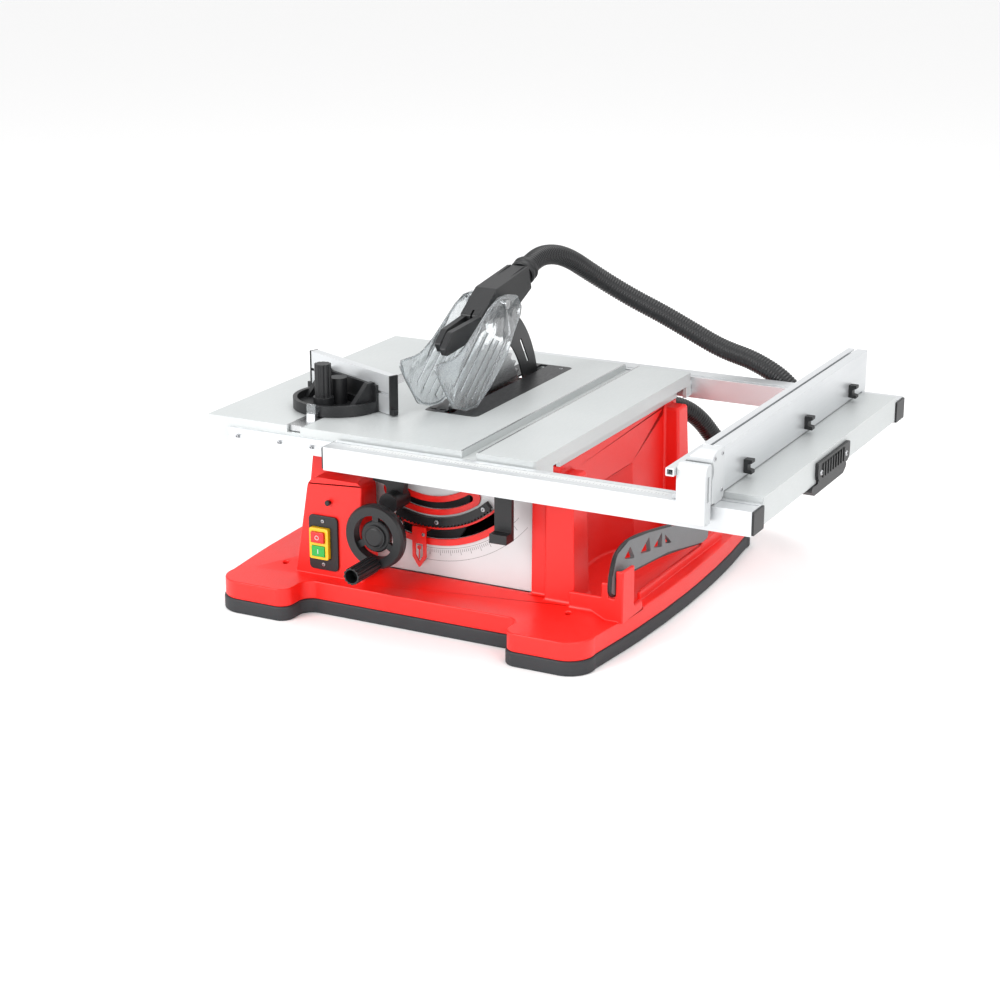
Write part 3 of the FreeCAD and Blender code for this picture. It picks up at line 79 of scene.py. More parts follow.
# Each finish: colour and its slightly darker partner, roughness, coat and metallic; its grain,
# grain depth and colour patches are in millimetres.
finishes = {
    # injection-moulded ABS, satin: soft highlights and a faint orange-peel skin
    "mouldedRedAbs": {"colour": "#F01204", "worn": "#E20E03", "roughness": 0.46, "grain": 1.1,
                      "depth": 0.05, "patch": 60, "coat": 0.15},
    # hard rubber band round the foot: dull, slightly dusty
    "footRubber": {"colour": "#2E3033", "worn": "#242629", "roughness": 0.62, "grain": 0.8,
                   "depth": 0.08, "patch": 40},
    # die-cast aluminium, fine-ground and lacquered: pale grey with a tight random grain
    "groundAluminium": {"colour": "#C6C9C9", "worn": "#BDC1C1", "roughness": 0.42, "grain": 1.4,
                        "depth": 0.06, "patch": 110, "metallic": 0.35, "stretch": (1, 0.12, 1)},
    # extruded aluminium, satin anodised: long faint die lines along X
    "anodisedRail": {"colour": "#D3D5D7", "worn": "#C9CCCE", "roughness": 0.34, "grain": 1.2,
                     "depth": 0.04, "patch": 90, "metallic": 0.55, "stretch": (0.02, 1, 1)},
    "anodisedFence": {"colour": "#D3D5D7", "worn": "#C8CBCD", "roughness": 0.34, "grain": 1.2,
                      "depth": 0.04, "patch": 90, "metallic": 0.55, "stretch": (1, 0.02, 1)},
    # powder-coated cast head and lever: smooth grey paint
    "greyPaint": {"colour": "#C9CBCD", "worn": "#C0C3C4", "roughness": 0.4, "grain": 0.9,
                  "depth": 0.05, "patch": 50, "metallic": 0.15},
    # painted sheet steel: even and a little glossier than the castings
    "panelPaint": {"colour": "#D2D4D5", "worn": "#C9CBCC", "roughness": 0.38, "grain": 0.8,
                   "depth": 0.03, "patch": 60, "metallic": 0.2},
    # glass-filled nylon: near black, fine spark-eroded texture
    "blackNylon": {"colour": "#121315", "worn": "#18191B", "roughness": 0.44, "grain": 0.7,
                   "depth": 0.08, "patch": 25},
    # gloss black paint on flat steel: sharper highlights than the nylon
    "blackSteelPaint": {"colour": "#141516", "worn": "#1D1E20", "roughness": 0.32, "grain": 0.6,
                        "depth": 0.03, "patch": 30, "metallic": 0.2},
    # blackened steel plate: dark, with a short rolled grain
    "insertSteel": {"colour": "#222325", "worn": "#2A2B2D", "roughness": 0.4, "grain": 0.9,
                    "depth": 0.05, "patch": 40, "metallic": 0.5, "stretch": (1, 0.1, 1)},
    # bright ground steel: near mirror, finely scattered
    "groundSteel": {"colour": "#C4C5C6", "worn": "#B3B4B6", "roughness": 0.27, "grain": 0.7,
                    "depth": 0.03, "patch": 40, "metallic": 1.0},
    # zinc-plated screw heads: bright, slightly mottled
    "zincPlate": {"colour": "#B9BABD", "worn": "#A6A7AA", "roughness": 0.3, "grain": 0.5,
                  "depth": 0.02, "patch": 10, "metallic": 1.0},
    # sand-cast iron: dark, rough and dull
    "castIron": {"colour": "#4A4B4D", "worn": "#3C3D3F", "roughness": 0.6, "grain": 1.6,
                 "depth": 0.15, "patch": 30, "metallic": 0.6},
    # grey enamel on the motor shell
    "motorPaint": {"colour": "#5A5D60", "worn": "#505356", "roughness": 0.45, "grain": 1.0,
                   "depth": 0.05, "patch": 30, "metallic": 0.3},
    # glossy moulded switch caps
    "yellowSwitchAbs": {"colour": "#F2BE0A", "worn": "#E8B206", "roughness": 0.26, "grain": 0.5,
                        "depth": 0.01, "patch": 12, "coat": 0.3},
    "redSwitchAbs": {"colour": "#D81410", "worn": "#C4100C", "roughness": 0.24, "grain": 0.5,
                     "depth": 0.01, "patch": 12, "coat": 0.3},
    "greenSwitchAbs": {"colour": "#12A63A", "worn": "#0E9A34", "roughness": 0.24, "grain": 0.5,
                       "depth": 0.01, "patch": 12, "coat": 0.3},
    # smooth red ABS trim, glossier than the housing
    "redTrimAbs": {"colour": "#F0160A", "worn": "#C9120A", "roughness": 0.34, "grain": 0.6,
                   "depth": 0.02, "patch": 15, "coat": 0.1},
    # mid-grey nylon push stick, satin
    "greyStickNylon": {"colour": "#6E7173", "worn": "#66696B", "roughness": 0.42, "grain": 0.8,
                       "depth": 0.05, "patch": 30},
    # flexible PVC hose: black with a slight sheen on the crests
    "hosePvc": {"colour": "#101113", "worn": "#18191B", "roughness": 0.34, "grain": 0.8,
                "depth": 0.03, "patch": 30},
    # printed tape, its ink, and painted shade for the inside of a recess
    "tapeWhite": {"colour": "#CBCDCD", "worn": "#C3C5C5", "roughness": 0.45, "grain": 0.5,
                  "depth": 0.01, "patch": 20},
    "inkGrey": {"colour": "#4B4D50", "worn": "#55575A", "roughness": 0.5, "grain": 0.5,
                "depth": 0.01, "patch": 10},
    "recessDark": {"colour": "#0B0B0C", "worn": "#111112", "roughness": 0.7, "grain": 0.5,
                   "depth": 0.01, "patch": 10},
}


# what the finishes share: noise detail, and how the grain turns to roughness and bump
grainUse = {"patchDetail": 4.0, "grainDetail": 2.0, "low": 0.3, "high": 0.7,
            "glossier": 0.05, "duller": 0.06, "bump": 0.5, "coatRoughness": 0.25}


def makeFinish(name, look):
    material = bpy.data.materials.new(name)
    material.use_nodes = True
    tree = material.node_tree
    shader = tree.nodes["Principled BSDF"]
    shader.inputs["Metallic"].default_value = look.get("metallic", 0.0)
    shader.inputs["Coat Weight"].default_value = look.get("coat", 0.0)
    shader.inputs["Coat Roughness"].default_value = grainUse["coatRoughness"]
    place = addNode(tree, "ShaderNodeTexCoord")
    stretched = addNode(tree, "ShaderNodeMapping", {"Scale": look.get("stretch", (1, 1, 1))},
                        {"Vector": (place, "Object")})
    patches = addNode(tree, "ShaderNodeTexNoise",
                      {"Scale": 1 / (look["patch"] * mm), "Detail": grainUse["patchDetail"]},
                      {"Vector": (place, "Object")})
    grain = addNode(tree, "ShaderNodeTexNoise",
                    {"Scale": 1 / (look["grain"] * mm), "Detail": grainUse["grainDetail"]},
                    {"Vector": (stretched, "Vector")})
    colour = addNode(tree, "ShaderNodeMix", {"data_type": "RGBA"}, {"Factor": (patches, "Fac")})
    colour.inputs[6].default_value = linearColour(look["colour"])  # the mix's colour A
    colour.inputs[7].default_value = linearColour(look["worn"])  # and colour B
    tree.links.new(colour.outputs[2], shader.inputs["Base Color"])
    rough = look["roughness"]
    spread = addNode(tree, "ShaderNodeMapRange",
                     {"From Min": grainUse["low"], "From Max": grainUse["high"],
                      "To Min": rough - grainUse["glossier"], "To Max": rough + grainUse["duller"]},
                     {"Value": (grain, "Fac")})
    tree.links.new(spread.outputs["Result"], shader.inputs["Roughness"])
    bump = addNode(tree, "ShaderNodeBump",
                   {"Strength": grainUse["bump"], "Distance": look["depth"] * mm},
                   {"Height": (grain, "Fac")})
    tree.links.new(bump.outputs["Normal"], shader.inputs["Normal"])
    return material


# clear moulded polycarbonate: high index, slightly wavy skin, so it glints along its ribs
clearPlastic = {"colour": "#F1F5F7", "transmission": 0.92, "ior": 1.58, "roughness": 0.06,
                "wave": 14, "waveDetail": 2.0, "waveDepth": 0.9, "bump": 0.6}


def makePolycarbonate():
    material = bpy.data.materials.new("clearPolycarbonate")
    material.use_nodes = True
    tree = material.node_tree
    shader = tree.nodes["Principled BSDF"]
    shader.inputs["Base Color"].default_value = linearColour(clearPlastic["colour"])
    shader.inputs["Transmission Weight"].default_value = clearPlastic["transmission"]
    shader.inputs["IOR"].default_value = clearPlastic["ior"]
    shader.inputs["Roughness"].default_value = clearPlastic["roughness"]
    place = addNode(tree, "ShaderNodeTexCoord")
    wave = addNode(tree, "ShaderNodeTexNoise",
                   {"Scale": 1 / (clearPlastic["wave"] * mm), "Detail": clearPlastic["waveDetail"]},
                   {"Vector": (place, "Object")})
    bump = addNode(tree, "ShaderNodeBump",
                   {"Strength": clearPlastic["bump"], "Distance": clearPlastic["waveDepth"] * mm},
                   {"Height": (wave, "Fac")})
    tree.links.new(bump.outputs["Normal"], shader.inputs["Normal"])
    return material


materials = {name: makeFinish(name, look) for name, look in finishes.items()}
materials["clearPolycarbonate"] = makePolycarbonate()
print("materials made:", len(materials))


# shared modelling tools

# edges sharper than these angles are rounded or shaded sharp; merging is in mm
rounding = {"roundFrom": 32, "shadeSharpFrom": 38, "mergeWithin": 0.002, "flatWithin": 1.2}


def bar(bm, size, centre, turnBy=None):
    # a block of size (x, y, z) about centre, all in mm, turned by a matrix about its own middle
    place = Matrix.Translation(Vector(centre) * mm)
    if turnBy:
        place = place @ turnBy
    stretch = Matrix.Diagonal((size[0] * mm, size[1] * mm, size[2] * mm, 1))
    return bmesh.ops.create_cube(bm, size=1, matrix=place @ stretch)["verts"]


def disc(bm, radius, topRadius, length, base, direction, sides=28):
    # a round boss standing on base along direction, in mm
    turnBy = up.rotation_difference(direction.normalized()).to_matrix().to_4x4()
    place = Matrix.Translation(Vector(base) * mm) @ turnBy
    place = place @ Matrix.Translation((0, 0, length * mm / 2))
    return bmesh.ops.create_cone(bm, cap_ends=True, segments=sides, radius1=radius * mm,
                                 radius2=topRadius * mm, depth=length * mm, matrix=place)["verts"]


def dressPiece(piece, materialName, bevel, segments):
    piece.data.materials.clear()
    piece.data.materials.append(materials[materialName])
    for face in piece.data.polygons:
        face.use_smooth = True
    if bevel:
        edge = piece.modifiers.new("roundedEdges", "BEVEL")
        edge.width = bevel * mm
        edge.segments = segments
        edge.limit_method = "ANGLE"
        edge.angle_limit = math.radians(rounding["roundFrom"])
        edge.miter_outer = "MITER_ARC"
    piece.data.set_sharp_from_angle(angle=math.radians(rounding["shadeSharpFrom"]))
    evenNormals = piece.modifiers.new("evenNormals", "WEIGHTED_NORMAL")
    evenNormals.keep_sharp = not bevel


def finishPiece(name, bm, materialName, body, bevel=0.0, segments=2):
    bmesh.ops.recalc_face_normals(bm, faces=bm.faces)
    mesh = bpy.data.meshes.new(name)
    bm.to_mesh(mesh)
    bm.free()
    piece = bpy.data.objects.new(name, mesh)
    bpy.context.scene.collection.objects.link(piece)
    dressPiece(piece, materialName, bevel, segments)
    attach(piece, body)
    return piece


# The red moulding's sharp edges get a share of its edge radius. A box in mm (low, high) sets its
# own share for the edges inside it, and a later box goes over an earlier one.
softCorners = {
    "elsewhere": 0.4,
    "boxes": [((-226, -266, 60), (-80, -214, 226), 0.12),  # switch tower, rounded in CAD
              ((184, -226, 62), (242, -164, 262), 1.0),  # front pillar
              ((184, 158, 62), (242, 202, 262), 0.9),  # rear pillar
              ((-300, -290, 60), (330, 330, 66), 0.9)],  # top of the foot
}


def softenCorners(bm):
    weight = bm.edges.layers.float.new("bevel_weight_edge")
    for edge in bm.edges:
        if not edge.is_manifold or edge.calc_face_angle(0) < math.radians(rounding["roundFrom"]):
            continue
        ends = [vert.co / mm for vert in edge.verts]
        share = softCorners["elsewhere"]
        for low, high, wanted in softCorners["boxes"]:
            if all(low[k] <= end[k] <= high[k] for end in ends for k in range(3)):
                share = wanted
        edge[weight] = share


def finishNode(node, materialName, bevel, segments):
    # stands for a CAD node: its merged mesh with rounded edges and a proper material
    bm = bmesh.new()
    bm.from_mesh(frame["nodes"][node].data)
    bmesh.ops.remove_doubles(bm, verts=bm.verts, dist=rounding["mergeWithin"] * mm)
    if bevel:
        bmesh.ops.dissolve_limit(bm, angle_limit=math.radians(rounding["flatWithin"]),
                                 verts=bm.verts, edges=bm.edges)
    soft = node == "base_housing"
    if soft:
        softenCorners(bm)
    mesh = bpy.data.meshes.new(node + "Mesh")
    bm.to_mesh(mesh)
    bm.free()
    parts = node.split("_")
    name = parts[0] + "".join(word.capitalize() for word in parts[1:])
    piece = bpy.data.objects.new(name, mesh)
    bpy.context.scene.collection.objects.link(piece)
    dressPiece(piece, materialName, bevel, segments)
    if soft:
        piece.modifiers["roundedEdges"].limit_method = "WEIGHT"
        piece.modifiers["roundedEdges"].use_clamp_overlap = False
    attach(piece, nodeBody[node])
    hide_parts(node)


# CAD nodes with their finish, edge radius in mm and bevel segments
nodeLooks = {
    "base_plinth": ("footRubber", 3.0, 3), "base_housing": ("mouldedRedAbs", 5.0, 3),
    "front_panel": ("panelPaint", 0.4, 2), "slot_rings": ("redTrimAbs", 0.6, 2),
    "tilt_rack": ("blackSteelPaint", 0.25, 1), "switch_plate": ("blackNylon", 1.0, 2),
    "switch_body": ("yellowSwitchAbs", 0.9, 2), "main_table": ("groundAluminium", 0.9, 3),
    "table_insert": ("insertSteel", 0.4, 2), "front_fixed_rail": ("anodisedRail", 0.4, 2),
    "rear_fixed_rail": ("anodisedRail", 0.4, 2), "front_trunnion": ("castIron", 0.8, 2),
    "rear_trunnion": ("castIron", 0.8, 2), "dust_port": ("blackNylon", 0.8, 2),
    "mains_gland": ("blackNylon", 0.6, 2), "tilt_cradle": ("castIron", 1.0, 2),
    "guide_posts": ("groundSteel", 0.5, 2), "tilt_pointer": ("redTrimAbs", 0.5, 2),
    "lift_screw": ("groundSteel", 0.4, 2), "motor_housing": ("motorPaint", 0.6, 2),
    "motor_end_cap": ("blackNylon", 0.8, 2), "arbor_housing": ("castIron", 1.2, 2),
    "riving_knife": ("blackSteelPaint", 0.3, 2), "knife_clamp": ("groundSteel", 0.5, 2),
    "dust_hood": ("blackNylon", 1.6, 3), "hose_cuff": ("blackNylon", 0.5, 2),
    "arbor_shaft": ("groundSteel", 0.3, 2), "arbor_flanges": ("groundSteel", 0.4, 2),
    "saw_blade": ("groundSteel", 0.0, 1), "guard_pin": ("groundSteel", 0.5, 2),
    "guard_left_shield": ("clearPolycarbonate", 0.0, 1),
    "guard_right_shield": ("clearPolycarbonate", 0.0, 1),
    "handwheel": ("blackNylon", 1.8, 3), "wheel_shaft": ("groundSteel", 0.4, 2),
    "handwheel_grip": ("blackNylon", 0.6, 2), "bevel_lock_lever": ("blackNylon", 2.2, 3),
    "rail_lock_lever": ("blackNylon", 1.6, 3), "front_slide_rail": ("anodisedRail", 0.6, 2),
    "rear_slide_rail": ("anodisedRail", 0.6, 2), "extension_table": ("groundAluminium", 1.2, 3),
    "extension_grip": ("blackNylon", 1.0, 2), "rail_end_caps": ("blackNylon", 0.7, 2),
    "fence_beam": ("anodisedFence", 0.4, 2), "fence_head": ("greyPaint", 1.6, 3),
    "fence_lip": ("anodisedFence", 0.5, 2), "fence_clips": ("blackNylon", 0.5, 2),
    "fence_lever": ("greyPaint", 1.2, 3), "miter_bar": ("groundSteel", 0.5, 2),
    "miter_head": ("blackNylon", 0.9, 2), "miter_fence": ("anodisedRail", 0.4, 2),
    "miter_caps": ("blackNylon", 0.7, 2), "miter_pointer": ("clearPolycarbonate", 0.5, 2),
    "miter_knob": ("blackNylon", 0.9, 3), "stop_button": ("redSwitchAbs", 0.9, 3),
    "start_button": ("greenSwitchAbs", 0.9, 3), "reset_button": ("blackNylon", 0.4, 2),
    "push_stick": ("greyStickNylon", 0.8, 2),
}
for node, (materialName, bevel, segments) in nodeLooks.items():
    finishNode(node, materialName, bevel, segments)
print("CAD nodes finished:", len(nodeLooks))


# screws

# A head is a low cone with an inset, raised crown; shares are of its radius or height, the rest
# is in mm and degrees.
screwHead = {"height": 1.9, "coneShare": 0.6, "topShare": 0.86, "insetShare": 0.32, "rise": 0.35,
             "recessLift": 0.37, "recessLong": 1.05, "recessWide": 0.26, "recessDeep": 0.12,
             "turn": 20}

# where the screws are: places in mm, with the head's radius
screws = {
    "rack": {"angles": (6, 38), "circle": 151.5, "front": -214, "radius": 3.6},
    "switchPlate": [((-158, -262, 72), 3.0), ((-158, -262, 140), 3.0)],
    "railFace": [((-262, -324.7, 274), 2.6), ((-190, -324.7, 274), 2.6),
                 ((-135, -324.7, 274), 2.6)],
    "insert": [((-30, 160, 299.4), 3.2), ((30, 160, 299.4), 3.2)],
    "grip": [((561, -112, 276), 4.2), ((561, -5, 276), 4.2)],
    "fenceHead": [((501, -362, 354), 3.4), ((501, -336, 355), 3.0), ((501, -336, 306), 3.0)],
    "pointer": [((-12, -217, 128), 2.8)],
}


def crossScrew(bm, place, direction, radius):
    # adds a low domed head, and returns the middle of its cross recess in mm
    cone = screwHead["height"] * screwHead["coneShare"]
    verts = disc(bm, radius, radius * screwHead["topShare"], cone, place, direction)
    faces = [face for face in bm.faces if all(vert in verts for vert in face.verts)]
    outer = max(faces, key=lambda face: face.calc_center_median().dot(direction))
    bmesh.ops.inset_individual(bm, faces=[outer], depth=screwHead["rise"] * mm,
                               thickness=radius * screwHead["insetShare"] * mm)
    return Vector(place) + direction * (cone + screwHead["recessLift"])


def makeScrews(name, body, places, direction, replaced=None):
    # zinc-plated heads, and in a second piece dark bars in their cross recesses as painted shade
    bm = bmesh.new()
    recesses = [(crossScrew(bm, place, direction, radius), radius) for place, radius in places]
    heads = finishPiece(name, bm, "zincPlate", body)
    if replaced:
        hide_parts(replaced)
    bm = bmesh.new()
    turnBy = up.rotation_difference(direction).to_matrix().to_4x4()
    for centre, radius in recesses:
        size = (radius * screwHead["recessLong"], radius * screwHead["recessWide"],
                screwHead["recessDeep"])
        for quarter in (0, 90):
            spin = Matrix.Rotation(math.radians(quarter + screwHead["turn"]), 4, "Z")
            bar(bm, size, centre, turnBy @ spin)
    # the near-black bars are painted shade standing in for the depth of each cross recess
    finishPiece(name + "Recess", bm, "recessDark", body)


tiltAxis = {"x": -7, "z": 300}


def aroundTilt(radius, degrees, front):
    # a point in front of the panel, the angle counted from straight down towards the right
    angle = math.radians(degrees)
    return (tiltAxis["x"] + radius * math.sin(angle), front,
            tiltAxis["z"] - radius * math.cos(angle))


rack = screws["rack"]
rackScrews = [(aroundTilt(rack["circle"], angle, rack["front"]), rack["radius"])
              for angle in rack["angles"]]
makeScrews("baseScrewHeads", "base", rackScrews + screws["switchPlate"], frontWay, "base_screws")
makeScrews("railFaceScrews", "base", screws["railFace"], frontWay)
makeScrews("insertScrews", "base", screws["insert"], up)
makeScrews("gripScrews", "extension", screws["grip"], right)
makeScrews("fenceHeadPins", "fence", screws["fenceHead"], right)
print("screws made")


# rulers and the degree scale

ruler = {"start": -60, "end": 430, "middle": -343, "width": 13, "top": 291, "tape": 0.16,
         "step": 5, "firstTick": 3, "longTick": 7.0, "shortTick": 4.2, "inkShare": 0.8,
         "inkWidth": 0.4, "inkHeight": 0.06, "inkLift": 0.18}


def makeRuler():
    bm = bmesh.new()
    length = ruler["end"] - ruler["start"]
    bar(bm, (length, ruler["width"], ruler["tape"]),
        ((ruler["start"] + ruler["end"]) / 2, ruler["middle"], ruler["top"] + ruler["tape"] / 2))
    finishPiece("railTape", bm, "tapeWhite", "extension")
    bm = bmesh.new()
    for step in range(int(length / ruler["step"]) + 1):
        tall = ruler["longTick"] if step % 2 == 0 else ruler["shortTick"]
        x = ruler["start"] + ruler["firstTick"] + step * ruler["step"]
        if x < ruler["end"] - 1:
            y = ruler["middle"] - ruler["width"] / 2 + tall / 2
            bar(bm, (ruler["inkWidth"], tall * ruler["inkShare"], ruler["inkHeight"]),
                (x, y, ruler["top"] + ruler["inkLift"]))
    finishPiece("railTicks", bm, "inkGrey", "extension")


# ticks one degree apart between two arcs on the panel, kept inside its visible window
degreeScale = {"ticks": 51, "first": -5, "radius": 196, "fiveTall": 9, "oneTall": 5,
               "front": -206.06, "ink": (0.6, 0.12), "arcs": (194, 213), "arcSpan": (-6, 50),
               "arcFront": -206.05, "arcInk": (0.1, 0.5), "lowest": 70, "left": -178, "right": 160}


def onPanel(place):
    inside = degreeScale["left"] < place[0] < degreeScale["right"]
    return inside and place[2] > degreeScale["lowest"]


def makeDegreeTicks():
    bm = bmesh.new()
    for degree in range(degreeScale["ticks"]):
        tall = degreeScale["fiveTall"] if degree % 5 == 0 else degreeScale["oneTall"]
        angle = degree + degreeScale["first"]
        place = aroundTilt(degreeScale["radius"] + tall / 2, angle, degreeScale["front"])
        if onPanel(place):
            bar(bm, (*degreeScale["ink"], tall), place,
                Matrix.Rotation(math.radians(-angle), 4, "Y"))
    deep, thick = degreeScale["arcInk"]
    for radius in degreeScale["arcs"]:
        for degree in range(*degreeScale["arcSpan"]):
            place = aroundTilt(radius, degree, degreeScale["arcFront"])
            if onPanel(place):
                bar(bm, (radius * math.radians(1) + 0.1, deep, thick), place,
                    Matrix.Rotation(math.radians(-degree), 4, "Y"))
    finishPiece("degreeTicks", bm, "inkGrey", "base")


makeRuler()
makeDegreeTicks()

# bright edges of the tracks let into the table's two slots
tracks = {"centres": (-167, 120.5), "half": 11.1, "width": 3.2, "depth": 0.5, "top": 300.22,
          "length": 553, "middle": -42.5, "edge": 0.12}
bm = bmesh.new()
for centre in tracks["centres"]:
    for side in (-1, 1):
        x = centre + side * (tracks["half"] + tracks["width"] / 2)
        bar(bm, (tracks["width"], tracks["length"], tracks["depth"]),
            (x, tracks["middle"], tracks["top"] - tracks["depth"] / 2))
finishPiece("slotTracks", bm, "groundSteel", "base", tracks["edge"], 1)
print("scales and tracks made")


# dust hose: corrugated PVC along the route's smooth line

# route and splitNear in mm; the groove's depth over one pitch is its profile times groove;
# the bends, in metres, are where the hose passes from one body to the next
hose = {
    "route": [(-7, 99, 464), (-7, 126, 475), (-4, 169, 481), (7, 223, 469), (35, 267, 434),
              (90, 287, 399), (147, 297, 373), (199, 303, 347), (247, 307, 324), (306, 304, 312),
              (367, 300, 281), (401, 303, 223), (402, 323, 162), (371, 350, 114), (318, 376, 93),
              (259, 390, 103), (211, 390, 141), (182, 368, 192), (150, 330, 218), (108, 293, 218)],
    "radius": 16.0, "groove": 1.5, "pitch": 4.6, "profile": (0, 0.35, 1, 0.35), "sides": 26,
    "curveSteps": 24, "splitNear": (58, 275, 419),
    "upperBend": ((-0.007, 0.115, 0.470), (0.050, 0.270, 0.425)),
    "lowerBend": ((0.058, 0.275, 0.419), (0.058, 0.275, 0.300)),
}


def smoothCurve(name, places, steps):
    # a smooth curve through the neighbourhood of given places in mm
    curve = bpy.data.curves.new(name, "CURVE")
    curve.dimensions = "3D"
    curve.resolution_u = steps
    spline = curve.splines.new("NURBS")
    spline.points.add(len(places) - 1)
    for point, place in zip(spline.points, places):
        point.co = (*(Vector(place) * mm), 1)
    spline.order_u = 3
    return curve, spline


def hoseLine():
    curve, spline = smoothCurve("hoseRoute", hose["route"], hose["curveSteps"])
    spline.use_endpoint_u = True
    holder = bpy.data.objects.new("hoseRoute", curve)
    line = bpy.data.meshes.new_from_object(holder)
    points = [vert.co.copy() for vert in line.vertices]
    bpy.data.objects.remove(holder)
    bpy.data.meshes.remove(line)
    return points


def evenPoints(points, spacing):
    # the same line with equal steps
    lengths = [0.0]
    for a, b in zip(points, points[1:]):
        lengths.append(lengths[-1] + (b - a).length)
    count = max(2, round(lengths[-1] / spacing))
    stepped = []
    index = 0
    for step in range(count + 1):
        target = lengths[-1] * step / count
        while index < len(points) - 2 and lengths[index + 1] < target:
            index += 1
        share = (target - lengths[index]) / max(1e-9, lengths[index + 1] - lengths[index])
        stepped.append(points[index].lerp(points[index + 1], min(1, share)))
    return stepped, lengths[-1]


def corrugatedTube(name, points, farEnd, blendWith, start, end):
    profile = hose["profile"]
    steps, length = evenPoints(points, hose["pitch"] * mm / len(profile))
    across = []
    side = (steps[1] - steps[0]).cross(up).normalized()
    for index in range(len(steps)):
        ahead, behind = steps[min(index + 1, len(steps) - 1)], steps[max(index - 1, 0)]
        along = (ahead - behind).normalized()
        side = (side - along * side.dot(along)).normalized()
        across.append((side, along.cross(side)))
    bm = bmesh.new()
    bmesh.ops.create_grid(bm, x_segments=len(steps) - 1, y_segments=hose["sides"], size=1.0)
    for vert in bm.verts:  # the flat grid is rolled into the tube
        index = round((vert.co.x + 1) / 2 * (len(steps) - 1))
        angle = (vert.co.y + 1) * math.pi
        depth = profile[index % len(profile)] * hose["groove"]
        u, v = across[index]
        reach = (hose["radius"] - depth) * mm
        vert.co = steps[index] + (u * math.cos(angle) + v * math.sin(angle)) * reach
    bmesh.ops.remove_doubles(bm, verts=bm.verts, dist=0.01 * mm)
    bmesh.ops.holes_fill(bm, edges=[edge for edge in bm.edges if edge.is_boundary], sides=0)
    bmesh.ops.recalc_face_normals(bm, faces=bm.faces)
    mesh = bpy.data.meshes.new(name)
    bm.to_mesh(mesh)
    bm.free()
    piece = bpy.data.objects.new(name, mesh)
    bpy.context.scene.collection.objects.link(piece)
    piece.data.materials.append(materials["hosePvc"])
    for face in mesh.polygons:
        face.use_smooth = len(face.vertices) == 4
    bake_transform(piece)
    print(name, "length", round(length, 3))
    return piece


line = hoseLine()
splitAt = Vector(hose["splitNear"]) * mm
split = min(range(len(line)), key=lambda i: (line[i] - splitAt).length)
upper = corrugatedTube("hoseFromHood", line[:split + 1], "object",
                       ("blade_carriage", "tilt_carriage"), *hose["upperBend"])
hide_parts("hose_upper")
lower = corrugatedTube("hoseToPort", line[split:], "object", ("tilt_carriage", "base"),
                       *hose["lowerBend"])
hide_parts("hose_lower")


# thin round beads: the push stick's rim, the shields' edges and the hood's seams

beadShape = {"curveSteps": 6, "roundness": 2}


def beadAlong(name, places, radius, materialName, body, closed=False):
    curve, spline = smoothCurve(name, places, beadShape["curveSteps"])
    curve.bevel_depth = radius * mm
    curve.bevel_resolution = beadShape["roundness"]
    curve.use_fill_caps = not closed
    spline.use_endpoint_u = not closed
    spline.use_cyclic_u = closed
    holder = bpy.data.objects.new(name + "Curve", curve)
    mesh = bpy.data.meshes.new_from_object(holder)
    bpy.data.objects.remove(holder)
    bm = bmesh.new()
    bm.from_mesh(mesh)
    return finishPiece(name, bm, materialName, body)


stickRim = {"x": 300, "radius": 3.4,
            "outline": [(-24, 132), (-110, 148), (-178, 157), (-221, 149), (-236, 120),
                        (-239, 96), (-224, 86), (-204, 97), (-172, 107), (-128, 103),
                        (-34, 94.5), (90, 71)]}
beadAlong("pushStickRim", [(stickRim["x"], y, z) for y, z in stickRim["outline"]],
          stickRim["radius"], "blackNylon", "stick")

shieldEdge = {"radius": 1.3, "planes": {"guard_left": -36.3, "guard_right": 22.3},
              "outline": [(-112, 305), (-69, 325), (-14, 362), (12, 397), (28, 414), (32, 426),
                          (19, 444), (-14, 452), (-42, 452), (-69, 442), (-137, 405), (-178, 390),
                          (-230, 392), (-235, 386), (-218, 361), (-186, 321), (-150, 308)]}
for body, x in shieldEdge["planes"].items():
    edgeName = "shieldEdge" + body.removeprefix("guard_").capitalize()
    beadAlong(edgeName, [(x, y, z) for y, z in shieldEdge["outline"]], shieldEdge["radius"],
              "clearPolycarbonate", body, closed=True)

hoodSeams = {"top": [(78, 478.2), (-25, 463.6), (-72, 432)], "offsets": (-19, 5), "radius": 0.9}
for number, x in enumerate(hoodSeams["offsets"]):
    beadAlong("hoodSeam%d" % number, [(x, y, z) for y, z in hoodSeams["top"]],
              hoodSeams["radius"], "blackNylon", "blade_carriage")


# small fittings on the front: the wheel's cap, the pointer's needle and the button marks

hubCap = {"place": (-58, -279, 136.3), "radius": 17.5, "height": 3, "stepRadius": 15.5,
          "stepTop": 12.5, "stepHeight": 2.4, "sides": 36, "edge": 0.5}
bm = bmesh.new()
disc(bm, hubCap["radius"], hubCap["radius"], hubCap["height"], hubCap["place"], frontWay,
     hubCap["sides"])
disc(bm, hubCap["stepRadius"], hubCap["stepTop"], hubCap["stepHeight"],
     Vector(hubCap["place"]) + frontWay * hubCap["height"], frontWay, hubCap["sides"])
finishPiece("wheelHubCap", bm, "blackNylon", "wheel", hubCap["edge"], 2)

needle = {"size": (1.8, 1.4, 20), "place": (-19.5, -216.2, 98), "eye": (-19.5, -215.5, 107),
          "eyeRadius": 3.4, "eyeHeight": 1.4, "sides": 20, "edge": 0.3}
bm = bmesh.new()
bar(bm, needle["size"], needle["place"])
disc(bm, needle["eyeRadius"], needle["eyeRadius"], needle["eyeHeight"], needle["eye"], frontWay,
     needle["sides"])
finishPiece("pointerNeedle", bm, "redTrimAbs", "tilt_carriage", needle["edge"], 2)
makeScrews("pointerScrew", "tilt_carriage", screws["pointer"], frontWay)

